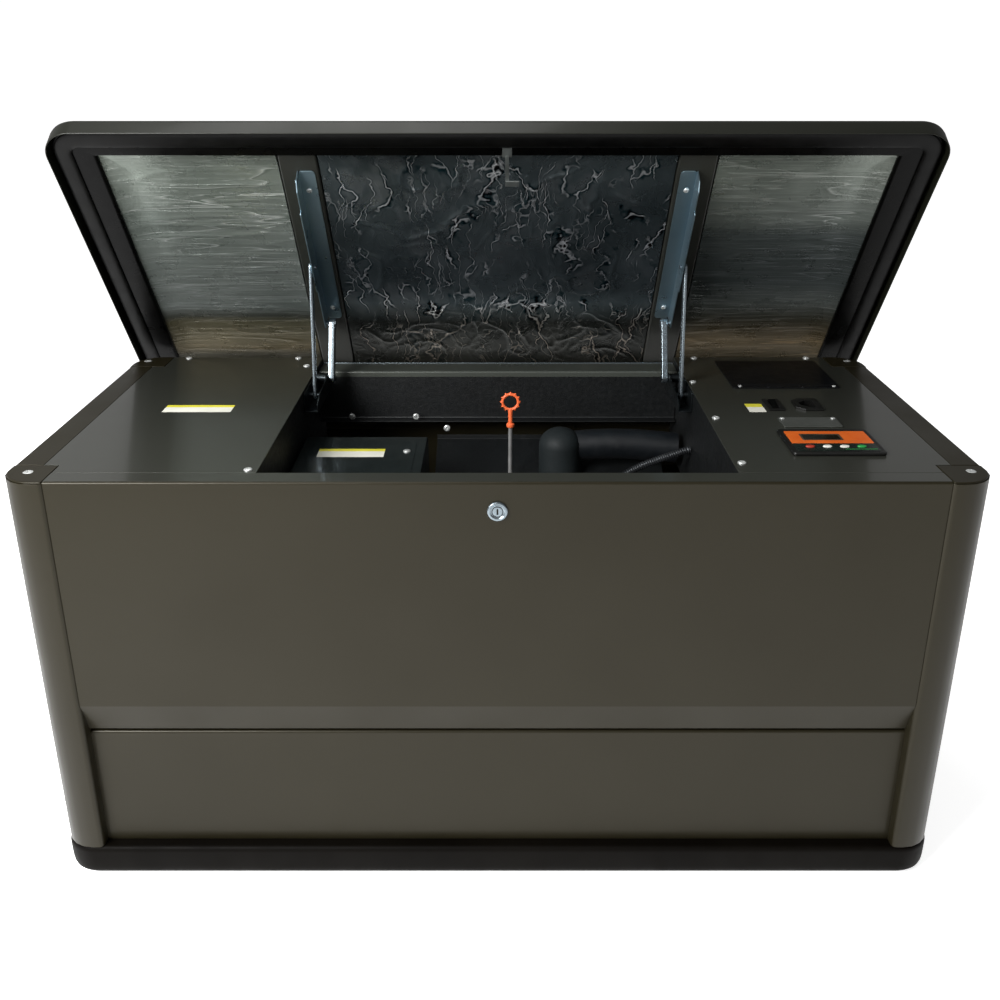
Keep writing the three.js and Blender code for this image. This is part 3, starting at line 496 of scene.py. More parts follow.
# ---------- the frame's main lines ----------
(_, TRAY_SIDE), (_, TRAY_BACK), (_, TRAY_TOP) = span("base_tray")
PANEL_X, (FRONT, FRONT_FLANGE), (BEVEL_FOOT, TOP) = span("front_upper_panel")
(SIDE_IN, SIDE), SIDE_Y, (PANEL_FOOT, _) = span("side_panel_right")
(RECESSED, _), (_, LOWER_TOP) = span("front_lower_panel")[1:]
REAR = -FRONT
BEVEL_TOP = 275
POST = SIDE - PANEL_X[1] - SEAM
POST_RADIUS = 42
COVER_INNER, COVER_OUTER = span("top_cover_right")[0]
COVER_FRONT = span("top_cover_right")[1][0]
RAIL_DROP = 10
(_, LID_SIDE), (_, LID_BACK), (LID_LIP, LID_TOP) = span("lid_shell", LID_OPEN)
LID_HALF = (LID_SIDE, LID_BACK)
LID_RADIUS = 43
RIB_FACE = LID_LIP + 20
PAD_GAP = 3
FIELD = tuple(span("lid_pad_right", LID_OPEN)[k][1] + PAD_GAP for k in range(2))


# ---------- cabinet ----------
def base_tray():
    floor_z = 10
    profile = [
        (12, 0), (9, 0.6), (8, 2.4), (8, 4), (4.5, 5.2), (1.8, 8.4), (0.7, 12), (0.2, 18), (0, 30), (0, 40),
        (0.5, 43), (1.8, 45.8), (4, 47.4), (7, TRAY_TOP), (20, TRAY_TOP), (22.6, 47.2), (23.8, 45.6),
        (24, 43), (24, floor_z + 3), (26, floor_z),
    ]
    bm = loft(frame_loft((TRAY_SIDE, TRAY_BACK), 45, profile))
    piece("tray_shell", bm, TRAY_PLASTIC, ["base_tray"])


def front_panels():
    back = RECESSED + 9
    bevel = [(FRONT, BEVEL_TOP), (RECESSED, BEVEL_FOOT), (back, BEVEL_FOOT)]
    section = bent_sheet([(FRONT_FLANGE, TOP), (FRONT, TOP), *bevel], [0, 3, 6, 4, 0])
    piece("front_upper_sheet", prism(section, PANEL_X, "x"), PAINT, ["front_upper_panel"], edge=0.5)
    lower = [(back, LOWER_TOP), (RECESSED, LOWER_TOP), (RECESSED, PANEL_FOOT)]
    section = bent_sheet(lower, [0, 3.5, 0])
    piece("front_lower_sheet", prism(section, PANEL_X, "x"), PAINT, ["front_lower_panel"], edge=0.5)


def front_flange():
    """Painted light: a lighter skin on the top of the upper panel's flange, its top face brighter than the
    front as where it catches the light.
    """
    y = (FRONT + 3.5, FRONT_FLANGE)
    flange = plate(box_outline(PANEL_X, y, 0.4), (TOP - 0.2, TOP + 0.12), edge=0.1)
    piece("front_flange_painted_light", flange, LIT_TOP_PAINT)


def corner_posts():
    """Each post is drawn in its own corner, then turned and moved to the cabinet's."""
    names = ["post_front_left", "post_front_right", "post_rear_right", "post_rear_left"]
    places = [(-1, -1), (1, -1), (1, 1), (-1, 1)]
    for turn, (name, (sign_x, sign_y)) in enumerate(zip(names, places)):
        line = [(POST, 20), (POST, 0), (0, 0), (0, POST), (20, POST)]
        section = bent_sheet(line, [0, 5, POST_RADIUS, 5, 0])
        wall = prism(section, (PANEL_FOOT, TOP - SHEET), "z")
        corners = [(POST, POST), (0, POST), (0, 0), (POST, 0)]
        outline = rounded(corners, [2, 2, POST_RADIUS, 2], closed=True, steps=12)
        cap = plate(outline, (TOP - 2.6, TOP), edge=1.1)
        corner = (sign_x * SIDE, sign_y * REAR, 0)
        bm = moved(merged(wall, cap), corner, Matrix.Rotation(turn * pi / 2, 3, "Z"))
        piece(f"{name}_shell", bm, PAINT, [name], edge=0.4)


def louvre(length, height, depth):
    """A pressed hood, open at its foot: drawn flat, with its length along the first axis."""
    across, up, thickness = 24, 6, 1.2
    rings = []
    for i in range(across + 1):
        u = i / across
        swell = min(1.0, sin(pi * u) * 5) ** 0.6 if 0 < u < 1 else 0.02
        outer, inner = [], []
        for k in range(up + 1):
            v = k / up
            rise = depth * swell * (1 - v) ** 0.55
            outer.append(((u - 0.5) * length, height * v, rise + 0.1))
            inner.append(((u - 0.5) * length, height * v, rise - thickness))
        rings.append(outer + inner[::-1])
    return loft(rings)


SIDE_LOUVRES = [(330 + 20 * i, 7) for i in range(9)]
REAR_LOUVRES = [(330 + 22 * i, 8) for i in range(8)]
TAIL_PIPE = (-30, 190, 28)
GAS_INLET = (-380, 420, 16)


def vented(sheet, axis, reach, columns, rows, hole, depth, turn, place):
    """A sheet with a slot in each column and row, a hood over it, and, where asked, a round hole."""
    slots, covers = [], []
    for low, high in columns:
        for z, height in rows:
            slots.append(prism(box_outline((low, high), (z, z + height), 2), reach, axis))
            hood = louvre(high - low + 6, height + 5, depth)
            covers.append(moved(hood, place(middle((low, high)), z - 1), turn))
    if hole:
        across, up, radius = hole
        slots.append(prism(circle(radius, (across, up), 32), reach, axis))
    return merged(carved(sheet, *slots), *covers)


def side_panels():
    for name, sign in (("side_panel_left", -1), ("side_panel_right", 1)):
        line = [(sign * SIDE, PANEL_FOOT), (sign * SIDE, TOP), (sign * SIDE_IN, TOP)]
        sheet = prism(bent_sheet(line, [0, 3.5, 0], SHEET * sign), (-SIDE_Y[1], SIDE_Y[1]), "y")
        reach = sorted((sign * (SIDE - 6), sign * (SIDE + 6)))
        hole = TAIL_PIPE if sign > 0 else None
        turn = Matrix(((0, 0, sign), (sign, 0, 0), (0, 1, 0)))
        whole = vented(sheet, "x", reach, [(-150, 150)], SIDE_LOUVRES, hole, 4.5, turn,
                       lambda along, z: (sign * SIDE, along, z))
        piece(f"{name}_sheet", whole, PAINT, [name], edge=0.4)


def rear_panel():
    x, y, z = span("rear_panel")
    sheet = prism(box_outline(x, z, 1), y, "y")
    turn = Matrix(((-1, 0, 0), (0, 0, 1), (0, 1, 0)))
    columns = [(-310, -130), (130, 310)]
    whole = vented(sheet, "y", (REAR - 8, REAR + 8), columns, REAR_LOUVRES, GAS_INLET, 2.8, turn,
                   lambda along, z: (along, REAR, z))
    piece("rear_panel_sheet", whole, PAINT, ["rear_panel"], edge=0.4)


def cover_outline(sign):
    """A cover plate's outline, notched round the two post tops."""
    notch_x = sign * (SIDE - POST - SEAM)
    inner, outer = sign * COVER_INNER, sign * COVER_OUTER
    reach = REAR - POST - SEAM
    points = [
        (inner, COVER_FRONT), (notch_x, COVER_FRONT), (notch_x, -reach), (outer, -reach), (outer, reach),
        (notch_x, reach), (notch_x, REAR - 3), (inner, REAR - 3),
    ]
    return rounded(points, 0.8, closed=True, steps=2)


def top_covers():
    lip = [(REAR - 3, TOP), (REAR, TOP), (REAR, TOP - RAIL_DROP - SHEET)]
    set_in = ("controller_housing", "terminal_hatch", "inlet_socket", "breaker_frame")
    for name, sign in (("top_cover_left", -1), ("top_cover_right", 1)):
        holes = []
        if sign > 0:
            for x, y, _ in map(span, set_in):
                holes.append(box_outline(inset(x, 7), inset(y, 7), 2))
        sheet = plate(cover_outline(sign), (TOP - SHEET, TOP), holes=holes, edge=0.45)
        ends = sorted((sign * COVER_INNER, sign * (SIDE - POST - SEAM)))
        fold = prism(bent_sheet(lip, [0, 2.6, 0], -SHEET), ends, "x")
        piece(f"{name}_sheet", merged(sheet, fold), LIT_TOP_PAINT, [name])


def bay_panels():
    x, (back, rear), (foot, top) = span("bay_rear_rail")
    front = 220
    line = [(rear, top), (front, top), (front, foot), (back, foot)]
    sheet = prism(bent_sheet(line, [0, 3, 2.4, 0]), x, "x")
    piece("bay_rail_sheet", sheet, BLACK_PAINT, ["bay_rear_rail"], edge=0.4)
    # Painted light: a light grey skin over the black rail's top and front edge, as where the top catches the
    # light.
    cap = [(rear + 0.4, top + 0.35), (front - 0.5, top + 0.35), (front - 0.5, top - 9)]
    piece("bay_rail_lit_face", prism(bent_sheet(cap, [0, 3.2, 0], 0.4), x, "x"), RAIL_LIGHT_PAINT)
    # Painted highlight: a bright zinc bead along the rail's rear edge stands for the light caught on its
    # bend.
    low, high, fore, aft = top + 0.3, top + 1.6, rear - 1.8, rear + 0.4
    bead = rounded([(fore, low), (fore, high), (aft, high), (aft, low)], [0.2, 0.9, 0.9, 0.2], closed=True)
    piece("bay_rail_highlight_bead", prism(bead, x, "x"), BRIGHT_ZINC)
    for side in ("left", "right"):
        x, y, z = span(f"bay_wall_{side}")
        bm = plate(box_outline(y, z, 1.5), x, "x", edge=0.4)
        piece(f"bay_wall_{side}_sheet", bm, BLACK_PAINT, [f"bay_wall_{side}"])


# ---------- fasteners and labels ----------
def screw_head(radius, height):
    """A round head with a cross-shaped recess, its foot at the origin."""
    arm, reach = 0.15 * radius, 0.62 * radius
    rim, steps = 0.35 * height, 5
    dome = []
    for i in range(steps + 1):
        angle = pi / 2 * i / steps
        dome.append((max(radius * cos(angle), 0.3), rim + (height - rim) * sin(angle)))
    head = lathe([(radius * 0.96, -0.4), (radius, 0.1), *dome], "z", (0, 0), 20)
    bar = [(reach, -arm), (reach, arm), (-reach, arm), (-reach, -arm)]
    depths = (height * 0.45, height + 1)
    return carved(head, prism(bar, depths, "z"), prism([(v, u) for u, v in bar], depths, "z"))


SCREW_TURNS = {
    "z": Matrix.Identity(3), "-z": Matrix.Rotation(pi, 3, "X"),
    "-y": Matrix.Rotation(pi / 2, 3, "X"), "-x": Matrix.Rotation(-pi / 2, 3, "Y"),
}


def screws(name, places, body="cabinet", radius=5.4, height=2.8, facing="z"):
    """A group of like screws; each place is the foot of a head, and facing is where the heads point."""
    parts = []
    for index, place in enumerate(places):
        turn = SCREW_TURNS[facing] @ Matrix.Rotation(0.9 * index + 0.3, 3, "Z")
        parts.append(moved(screw_head(radius, height), place, turn))
    piece(name, merged(*parts), SCREW, body=body, crease=40)


def cabinet_screws():
    posts = [(-568.5, -237), (574.8, -234), (-576, 246), (574, 246)]
    screws("post_screws", [(x, y, TOP - 0.6) for x, y in posts], height=1.4, radius=6.2)
    left = [(-303.5, -230.6), (-512.7, 262), (-331.5, 262), (-310, 217)]
    right = [(325, 262), (300.3, 129.8), (303, -38.6), (302.5, -207.6), (511, 262)]
    screws("cover_screws", [(x, y, TOP) for x, y in left + right], height=2.4)
    plate_x, plate_y, (_, plate_top) = span("blank_plate")
    places = [(x, plate_y[1] - 6, plate_top) for x in inset(plate_x, 5)]
    screws("blank_plate_screws", places, height=1.6, radius=3.4)


AIR_BOX_RIDGE = 0.7


def labels():
    """Blank adhesive labels: a white field under a yellow band."""
    thick = 0.25
    fields = {
        "cover_label": ((-475, -378), (-13, 17), TOP, 0.68),
        "socket_label": ((356, 380), (-13, 23), TOP, 0.6),
        "air_box_label": ((-260, -164), (-18, 14), span("air_cleaner_box")[2][1] + AIR_BOX_RIDGE, 0.7),
    }
    for name, (x, y, z, share) in fields.items():
        split = y[0] + (y[1] - y[0]) * share
        halves = {"field": (y[0], split, LABEL_WHITE), "band": (split, y[1], LABEL_YELLOW)}
        for part, (near, far, look) in halves.items():
            bm = plate(box_outline(x, (near, far), 0.8), (z + 0.02, z + thick), edge=0.05)
            piece(f"{name}_{part}", bm, look)


# ---------- controls on the right cover ----------
def controller():
    x, y, (_, top) = span("controller_housing")
    base = TOP + 0.3
    bezel_top = top - 0.7
    buttons = [span(f"controller_button_{i + 1}") for i in range(4)]
    centres = [(middle(across), middle(deep)) for across, deep, _ in buttons]
    holes = [circle(6.6, centre, 28, squash=0.7) for centre in centres]
    bezel = plate(box_outline(x, y, 5), (base, bezel_top), holes=holes, edge=1.4)
    body = plate(box_outline(inset(x, 8), inset(y, 8), 3), (TOP - 54, base - 0.05), edge=1)
    piece("controller_case", merged(bezel, body), BLACK_PLASTIC, ["controller_housing"])
    inner_x = inset(x, 7, 6)
    band_y = (y[0] + 7, y[0] + 33.4)
    field_y = inset(y, 34, 10)
    screen_x = (inner_x[0] + 17, inner_x[0] + 70)
    screen_y = inset(field_y, 11)
    rim = 2.6
    overlay = (bezel_top - 0.1, top - 0.25)
    window = box_outline(screen_x, screen_y, 1.5)
    opening = box_outline(inset(screen_x, rim), inset(screen_y, rim), 1)
    line = box_outline(inset(inner_x, 62, 3), (band_y[0] + 5, band_y[0] + 6.2), 0.5)
    layers = [
        ("field", box_outline(inner_x, field_y, 2), overlay, [window], PANEL_ORANGE, None),
        ("band", box_outline(inner_x, band_y, 2), overlay, holes, PANEL_DARK, None),
        ("screen_rim", window, (overlay[0], top), [opening], SCREEN_RIM, None),
        ("screen", opening, (overlay[0] - 0.2, top - 0.3), [], SCREEN, None),
        ("line", line, (overlay[1] - 0.05, overlay[1] + 0.12), [], KEY_LOOKS[3], "black_plastic"),
    ]
    for name, outline, heights, gaps, look, slot in layers:
        piece(f"controller_{name}", plate(outline, heights, holes=gaps, edge=0.06), look)
    for i, (centre, look) in enumerate(zip(centres, KEY_LOOKS)):
        foot, crown = buttons[i][2]
        dome = [(6, crown - 1), (5.7, crown - 0.45), (5, crown - 0.12), (3.5, crown), (0.3, crown)]
        key = lathe([(6, foot), *dome], "z", (0, 0), 32)
        bm = moved(key, (*centre, 0), Matrix.Diagonal((1, 4 / 6, 1)))
        piece(f"controller_key_{i + 1}", bm, look, [f"controller_button_{i + 1}"], f"button_{i + 1}")


def hatch_and_plate():
    x, y, z = span("terminal_hatch")
    lid = plate(box_outline(x, y, 3), z, edge=0.45)
    inner = box_outline(inset(x, 9), inset(y, 12, 10), 3)
    pressed = plate(inner, (z[1] - 0.3, z[1] + 0.5), edge=0.35)
    tabs = [
        plate(box_outline((tab_x, tab_x + 26), (y[0] - 1, y[0] + 9), 2), (z[1] - 0.3, z[1] + 1.1), edge=0.4)
        for tab_x in (x[0] + 52, x[0] + 104)
    ]
    piece("hatch_cover", merged(lid, pressed, *tabs), HATCH_BLACK, ["terminal_hatch"])
    places = [(place, y[0] + 6, z[1]) for place in inset(x, 12, 8)]
    screws("hatch_screws", places, height=1.5, radius=2.8)
    x, y, z = span("blank_plate")
    piece("blank_plate_sheet", plate(box_outline(x, y, 2), z, edge=0.4), GREY_PLATE, ["blank_plate"])


# ---------- lock ----------
def lock():
    x, y, z = span("lock_housing")
    centre = (middle(x), middle(z))
    front = y[0]
    face = FRONT - 0.3
    ring = [
        (9, face + 30), (12.4, face + 0.1), (12.5, face), (12.5, front + 1.6), (11.9, front + 0.5),
        (10.9, front), (9.4, front + 0.1), (8.2, front + 1.2), (7.0, front + 1.5), (6.75, front + 2.2),
        (6.7, face + 30),
    ]
    piece("lock_ring", lathe(ring, "y", centre, 48, loop=True), BRIGHT_ZINC, ["lock_housing"])
    nose = front + 0.9
    slot = box_outline((centre[0] - 0.9, centre[0] + 0.9), (centre[1] - 3.6, centre[1] + 3.6), 0.4)
    plug = plate(circle(6.2, centre, 40), (nose, nose + 12), "y", holes=[slot], edge=0.5)
    barrel = plate(circle(6.1, centre, 40), (nose + 11, FRONT + 35), "y", edge=0.3)
    outline = box_outline((centre[0] - 8, centre[0] + 8), (centre[1] - 8, centre[1] + 30), 5)
    cam = plate(outline, (FRONT + 34, FRONT + 36.4), "y", edge=0.4)
    piece("lock_core", merged(plug, barrel, cam), BRIGHT_ZINC, ["lock_plug"], "lock")


# ---------- lid ----------
def lid_cover():
    lip, top = LID_LIP, LID_TOP
    profile = [
        (40, top - SHEET), (9, top - SHEET), (4.5, top - SHEET - 0.9), (2.6, top - 4.6), (SHEET, top - 9),
        (SHEET, lip + 1), (1.6, lip + 0.3), (1, lip), (0.4, lip + 0.3), (0, lip + 1), (0, top - 9),
        (0.7, top - 5), (2.6, top - 2), (5.4, top - 0.4), (9, top), (40, top),
    ]
    rings = frame_loft(LID_HALF, LID_RADIUS, profile)
    piece("lid_cover", loft(rings), LID_PAINT, ["lid_shell"], "lid")


def spread(inset, start=32, full=69):
    """An inset drawn for a frame of full width, fitted to the lid's sides and to its front and rear."""
    if inset <= start:
        return (inset, inset)
    share = (inset - start) / (full - start)
    return tuple(start + (LID_HALF[k] - FIELD[k] - start) * share for k in range(2))


def lid_rim():
    """The pressed black frame round the lid, with its ridges, and the round-backed seal on it."""
    face = span("lid_inner_frame", LID_OPEN)[2][0]
    roof = LID_TOP - SHEET - 0.4
    line = [
        (6.5, roof), (6.5, face + 3), (7.5, face + 1), (9.5, face + 0.1), (31, face + 0.1), (36, face - 0.1),
        (48, face - 0.1), (64, face + 0.1), (67.5, face + 0.5), (68.7, face + 1.2), (69, face + 2.5),
        (69, roof),
    ]
    inner = offset_line(line, -1.4)
    profile = [(spread(i), z) for i, z in line] + [(spread(i), z) for i, z in inner[::-1]]
    bm = loft(frame_loft(LID_HALF, LID_RADIUS, profile), loop=True)
    piece("lid_rim", bm, RIM_BLACK, body="lid")
    (_, half_x), (_, half_y), (low, high) = span("lid_gasket", LID_OPEN)
    half = 12
    screw_room = 2
    bulge = high - low - screw_room - 1
    steps = 10
    turns = [pi * i / steps for i in range(steps + 1)]
    back = [(half - half * cos(turn), high - 1 - bulge * sin(turn) ** 0.55) for turn in turns]
    seal = [(0, high), *back, (2 * half, high)]
    bm = loft(frame_loft((half_x, half_y), 36, seal), loop=True)
    piece("lid_seal", bm, RUBBER, ["lid_gasket"], "lid")


def lid_ribs():
    rib_x, width = 273, 53
    half_y = FIELD[1] - 0.6
    roof = LID_TOP - SHEET - 0.4
    parts = []
    for sign in (-1, 1):
        x0, x1 = sign * rib_x - width / 2, sign * rib_x + width / 2
        line = [(x0, roof), (x0, RIB_FACE), (x1, RIB_FACE), (x1, roof)]
        parts.append(prism(bent_sheet(line, [0, 3, 3, 0]), (-half_y, half_y), "y"))
    piece("lid_ribs", merged(*parts), RIB_PAINT, ["lid_inner_frame"], "lid", edge=0.4)


def foil_look(name, tones, metallic, layers, rows):
    """Aluminium facing: patches of tone, layers of wrinkles with a dark side of painted shade and a bright
    side of painted highlight, and a slow change from the lid's front to its rear that is painted reflection."""
    made = surface(name, tones, 0.3, metallic, 6, 260, 0.2, spread=0.08)
    tree = made.node_tree
    shader = tree.nodes["Principled BSDF"]
    place = tree.nodes["Texture Coordinate"].outputs["Object"]

    def blended(kind, share, below, above):
        inputs = {0: share, 6: below, 7: above}
        mix = add_node(tree, "Mix", inputs, data_type="RGBA", blend_type=kind, clamp_result=True)
        return mix.outputs[2]

    def leaning(source, stretch, lean):
        inputs = {"Vector": source, "Rotation": (0, 0, lean), "Scale": (*stretch, 1)}
        return add_node(tree, "Mapping", inputs).outputs["Vector"]

    def wrinkle_noise(scale, stretch, lean, detail=2, distortion=0):
        inputs = {"Scale": scale, "Detail": detail, "Distortion": distortion}
        inputs["Vector"] = leaning(place, stretch, lean)
        return add_node(tree, "TexNoise", inputs).outputs["Fac"]

    def streak_lines(scale, stretch, lean, width):
        """Soft lines along a noise's middle level, with a dark side of painted shade and a bright side of
        painted highlight.
        """
        return ramped(tree, wrinkle_noise(scale, stretch, lean, 1.5, 0.3), [
            (0.5 - 2 * width, 0.5), (0.5 - 0.8 * width, 0.36), (0.5, 1), (0.5 + 0.5 * width, 0.7),
            (0.5 + 1.6 * width, 0.5),
        ])

    def crease_lines(scale, stretch, lean, width):
        """Thin bright lines of painted highlight with dark edges of painted shade, round long, bent cells,
        and a tone for each cell.
        """
        inputs = {"Vector": place, "Scale": 9, "Detail": 4, "Roughness": 0.6}
        warp = add_node(tree, "TexNoise", inputs).outputs["Color"]
        bent = add_node(tree, "Mix", {0: 0.09, 4: place, 5: warp}, data_type="VECTOR").outputs[1]
        inputs = {"Vector": leaning(bent, stretch, lean), "Scale": scale}
        borders = add_node(tree, "TexVoronoi", inputs, feature="DISTANCE_TO_EDGE")
        cells = add_node(tree, "TexVoronoi", inputs, feature="F1")
        stops = [(0, 1), (0.5 * width, 0.72), (width, 0.4), (3 * width, 0.5)]
        line = ramped(tree, borders.outputs["Distance"], stops)
        facet = ramped(tree, cells.outputs["Color"], [(0, 0.47), (1, 0.54)])
        return blended("ADD", 1, line, blended("SUBTRACT", 1, facet, (0.5, 0.5, 0.5, 1)))

    colour = shader.inputs["Base Color"].links[0].from_socket
    normal = shader.inputs["Normal"].links[0].from_socket
    for kind, scale, stretch, lean, width, strength in layers:
        if kind == "streaks":
            wrinkles_and_painted_light = streak_lines(scale, stretch, lean, width)
            where = ramped(tree, wrinkle_noise(5, (1, 1), lean), [(0.44, 0.06), (0.6, strength)])
        else:
            wrinkles_and_painted_light = crease_lines(scale, stretch, lean, width)
            spots = wrinkle_noise(9 + 20 * abs(lean), (1, 0.7), lean)
            where = ramped(tree, spots, [(0.53, 0), (0.6, strength)])
        share = add_node(tree, "RGBToBW", {"Color": where}).outputs["Val"]
        # Painted light: each wrinkle's bright side is a painted highlight and its dark side painted shade,
        # mixed into the colour; the same marks give the bump.
        colour = blended("LINEAR_LIGHT", share, colour, wrinkles_and_painted_light)
        inputs = {"Strength": 0.5, "Distance": 0.6 * MM, "Height": wrinkles_and_painted_light, "Normal": normal}
        normal = add_node(tree, "Bump", inputs).outputs["Normal"]
    # Painted reflection: the colour is multiplied by the rows, a ramp from the lid's front (0) to its rear
    # (1).
    split = add_node(tree, "SeparateXYZ", {"Vector": place})
    ends = {"From Min": -FIELD[1] * MM, "From Max": FIELD[1] * MM, "Value": split.outputs["Y"]}
    along = add_node(tree, "MapRange", ends)
    colour = blended("MULTIPLY", 1, colour, ramped(tree, along.outputs["Result"], rows))
    feed(tree, shader, {"Base Color": colour, "Normal": normal})
    return made


# Without a seed of its own, noise_vector takes the clock's, and the folds change from run to run.
FOLD_SEED = 1794927191
noise.seed_set(FOLD_SEED)


def crinkle(x, y, seed, streaky):
    """The height of a facing in millimetres: slow swells, then long creases."""

    def at(scale_x, scale_y, level=0):
        return Vector((x * scale_x, y * scale_y, seed + level))

    swell = noise.noise(at(0.004, 0.004)) * 1.6
    if streaky:
        fine = noise.noise(at(0.005, 0.08, 3)) * 0.3 + noise.noise(at(0.02, 0.3, 5)) * 0.12
        fold = 1 - min(1.0, abs(noise.noise(at(0.003, 0.035, 9))) * 6)
        return swell * 0.4 + fine + 0.9 * fold**4
    warp = noise.noise_vector(at(0.004, 0.004) * 2.2) * 0.9
    creases = 0.0
    for scale, height, power in ((0.009, 2.0, 7), (0.02, 1.1, 6), (0.045, 0.5, 5)):
        ridge = 1 - min(1.0, abs(noise.noise(at(scale * 1.3, scale * 0.8) + warp * 1.3)) * 3.2)
        creases += height * ridge**power
    return swell + creases + noise.noise(at(0.09, 0.07)) * 0.2


def facing(x, y, low, high, height_at):
    """A closed pad over a grid: height_at tells how far its face stands below its crown."""
    step = 2.5
    columns, rows = int((x[1] - x[0]) / step), int((y[1] - y[0]) / step)
    bm = bmesh.new()
    grid = []
    for i in range(columns + 1):
        line = []
        for k in range(rows + 1):
            u, v = i / columns, k / rows
            px, py = x[0] + (x[1] - x[0]) * u, y[0] + (y[1] - y[0]) * v
            flat = min(1.0, 9 * min(u, 1 - u, v, 1 - v))
            line.append(bm.verts.new((px, py, low - height_at(px, py, flat))))
        grid.append(line)
    for a, b in zip(grid, grid[1:]):
        for k in range(rows):
            bm.faces.new((a[k], a[k + 1], b[k + 1], b[k]))
    rim = [line[0] for line in grid] + grid[-1][1:] + [line[-1] for line in grid[-2::-1]] + grid[0][-2:0:-1]
    foot = [bm.verts.new((v.co.x, v.co.y, high)) for v in rim]
    for i in range(len(rim)):
        j = (i + 1) % len(rim)
        bm.faces.new((rim[i], rim[j], foot[j], foot[i]))
    bm.faces.new(foot)
    return oriented(bm)


def lid_pads():
    """The pads' facings reach the rim and roll up at it."""
    gap, crown, roll_width, roll_height = 0.8, 2, 40, 6
    looks = {
        "lid_pad_left": (FOIL_LEFT, 3, True),
        "lid_pad_centre": (FOIL_CENTRE, 11, False),
        "lid_pad_right": (FOIL_RIGHT, 19, True),
    }
    y = (gap - FIELD[1], FIELD[1] - gap)
    for name, (look, seed, streaky) in looks.items():

        def height_at(px, py, flat):
            rim = min(FIELD[0] - abs(px), FIELD[1] - abs(py))
            roll = max(0.0, 1 - rim / roll_width) ** 2
            return crinkle(px, py, seed, streaky) * flat + roll_height * roll

        x, _, (low, high) = span(name, LID_OPEN)
        x = [copysign(FIELD[0] - gap, end) if abs(end) > FIELD[0] - 2 * PAD_GAP else end for end in x]
        bm = facing(x, y, low + crown, high, height_at)
        obj = piece(f"{name}_facing", bm, look, [name], "lid", crease=60)


SIDE_LAYERS = [
    ("streaks", 5, (0.5, 7), 0.05, 0.010, 0.22), ("streaks", 9, (0.4, 9), -0.04, 0.014, 0.16),
    ("streaks", 16, (0.3, 11), 0.02, 0.012, 0.12),
]
CENTRE_LAYERS = [
    ("creases", 9, (1.6, 0.35), 0.35, 0.012, 0.5), ("creases", 13, (1.5, 0.4), -0.75, 0.018, 0.42),
    ("creases", 22, (1.4, 0.4), 0.9, 0.028, 0.3), ("creases", 30, (2.2, 0.3), 0.5, 0.04, 0.24),
]
# The three facings are one foil. The centre's darker tones are painted reflection of dark surroundings. Each
# list of rows is painted reflection from front (0) to rear (1): the dark and brown bands are painted
# reflection of the surroundings, and the centre's bright band near 0.66 is a painted highlight.
FOIL_LEFT = foil_look("foil_left", ((96, 103, 98), (120, 126, 121)), 0.6, SIDE_LAYERS, [
    (0.0, (1.1, 1.1, 1.05)), (0.5, (0.94, 0.94, 0.96)), (0.68, (0.9, 0.9, 0.93)), (0.73, (0.3, 0.28, 0.25)),
    (0.76, (0.62, 0.5, 0.33)), (0.9, (0.5, 0.36, 0.2)), (0.94, (0.24, 0.2, 0.15)), (1.0, (0.3, 0.24, 0.16)),
])
FOIL_RIGHT = foil_look("foil_right", ((92, 98, 93), (114, 120, 115)), 0.6, SIDE_LAYERS, [
    (0.0, (1.1, 1.1, 1.05)), (0.27, (0.95, 0.95, 0.95)), (0.34, (0.42, 0.44, 0.47)),
    (0.56, (0.4, 0.42, 0.46)), (0.66, (0.72, 0.72, 0.74)), (0.74, (0.32, 0.28, 0.22)),
    (0.86, (0.6, 0.38, 0.18)), (1.0, (0.24, 0.19, 0.12)),
])
FOIL_CENTRE = foil_look("foil_centre", ((50, 57, 59), (76, 84, 86)), 0.75, CENTRE_LAYERS, [
    (0.0, 1.0), (0.5, (0.95, 0.95, 1)), (0.6, (1.2, 1.2, 1.25)), (0.66, (2.2, 2.2, 2.25)),
    (0.71, (1.5, 1.45, 1.4)), (0.76, (0.5, 0.44, 0.38)), (1.0, (0.36, 0.3, 0.24)),
])


# ---------- lid stays ----------
def joint_point(name):
    """A joint's axis in the (Y, Z) plane, in millimetres."""
    joint = next(j for j in frame["joints"] if j["name"] == name)
    return tuple(value / MM for value in joint["pos_m"][1:])


ARM_PIVOTS = (joint_point("arm_swing"), joint_point("lid_swing"))
ROD_PIVOTS = ((118, 571), (148.1, 762.1))


def stay_channel(side, sign, flip):
    (x0, x1), (y0, y1), (_, z1) = span("lid_channel_right", LID_OPEN)
    wall, low, pivot = 1.6, 574, (97, 583)
    face = plate(box_outline((x0, x1 - 1), (y0, y1), 6), (z1 - wall, z1), edge=0.35)
    outline = rounded([(y0, z1), (y0, low + 8), (y0 + 14, low), (y1 - 6, low), (y1, low + 8), (y1, z1)],
                      [1, 5, 6, 6, 5, 1], closed=True, steps=4)
    flange = plate(outline, (x1 - wall, x1), "x", holes=[circle(4.2, pivot, 24)], edge=0.35)
    deep = plate(box_outline((-150, 10), (low - 6, low + 2), 3), (x1 - wall, x1), "x", edge=0.35)
    bm = flip(merged(face, flange, deep))
    piece(f"stay_channel_{side}", bm, ZINC, [f"lid_channel_{side}"], "lid")
    places = [(sign * middle((x0, x1)), y, z1 - wall) for y in (y0 + 34, y1 - 26)]
    screws(f"stay_channel_screws_{side}", places, "lid", radius=4, height=2.4, facing="-z")


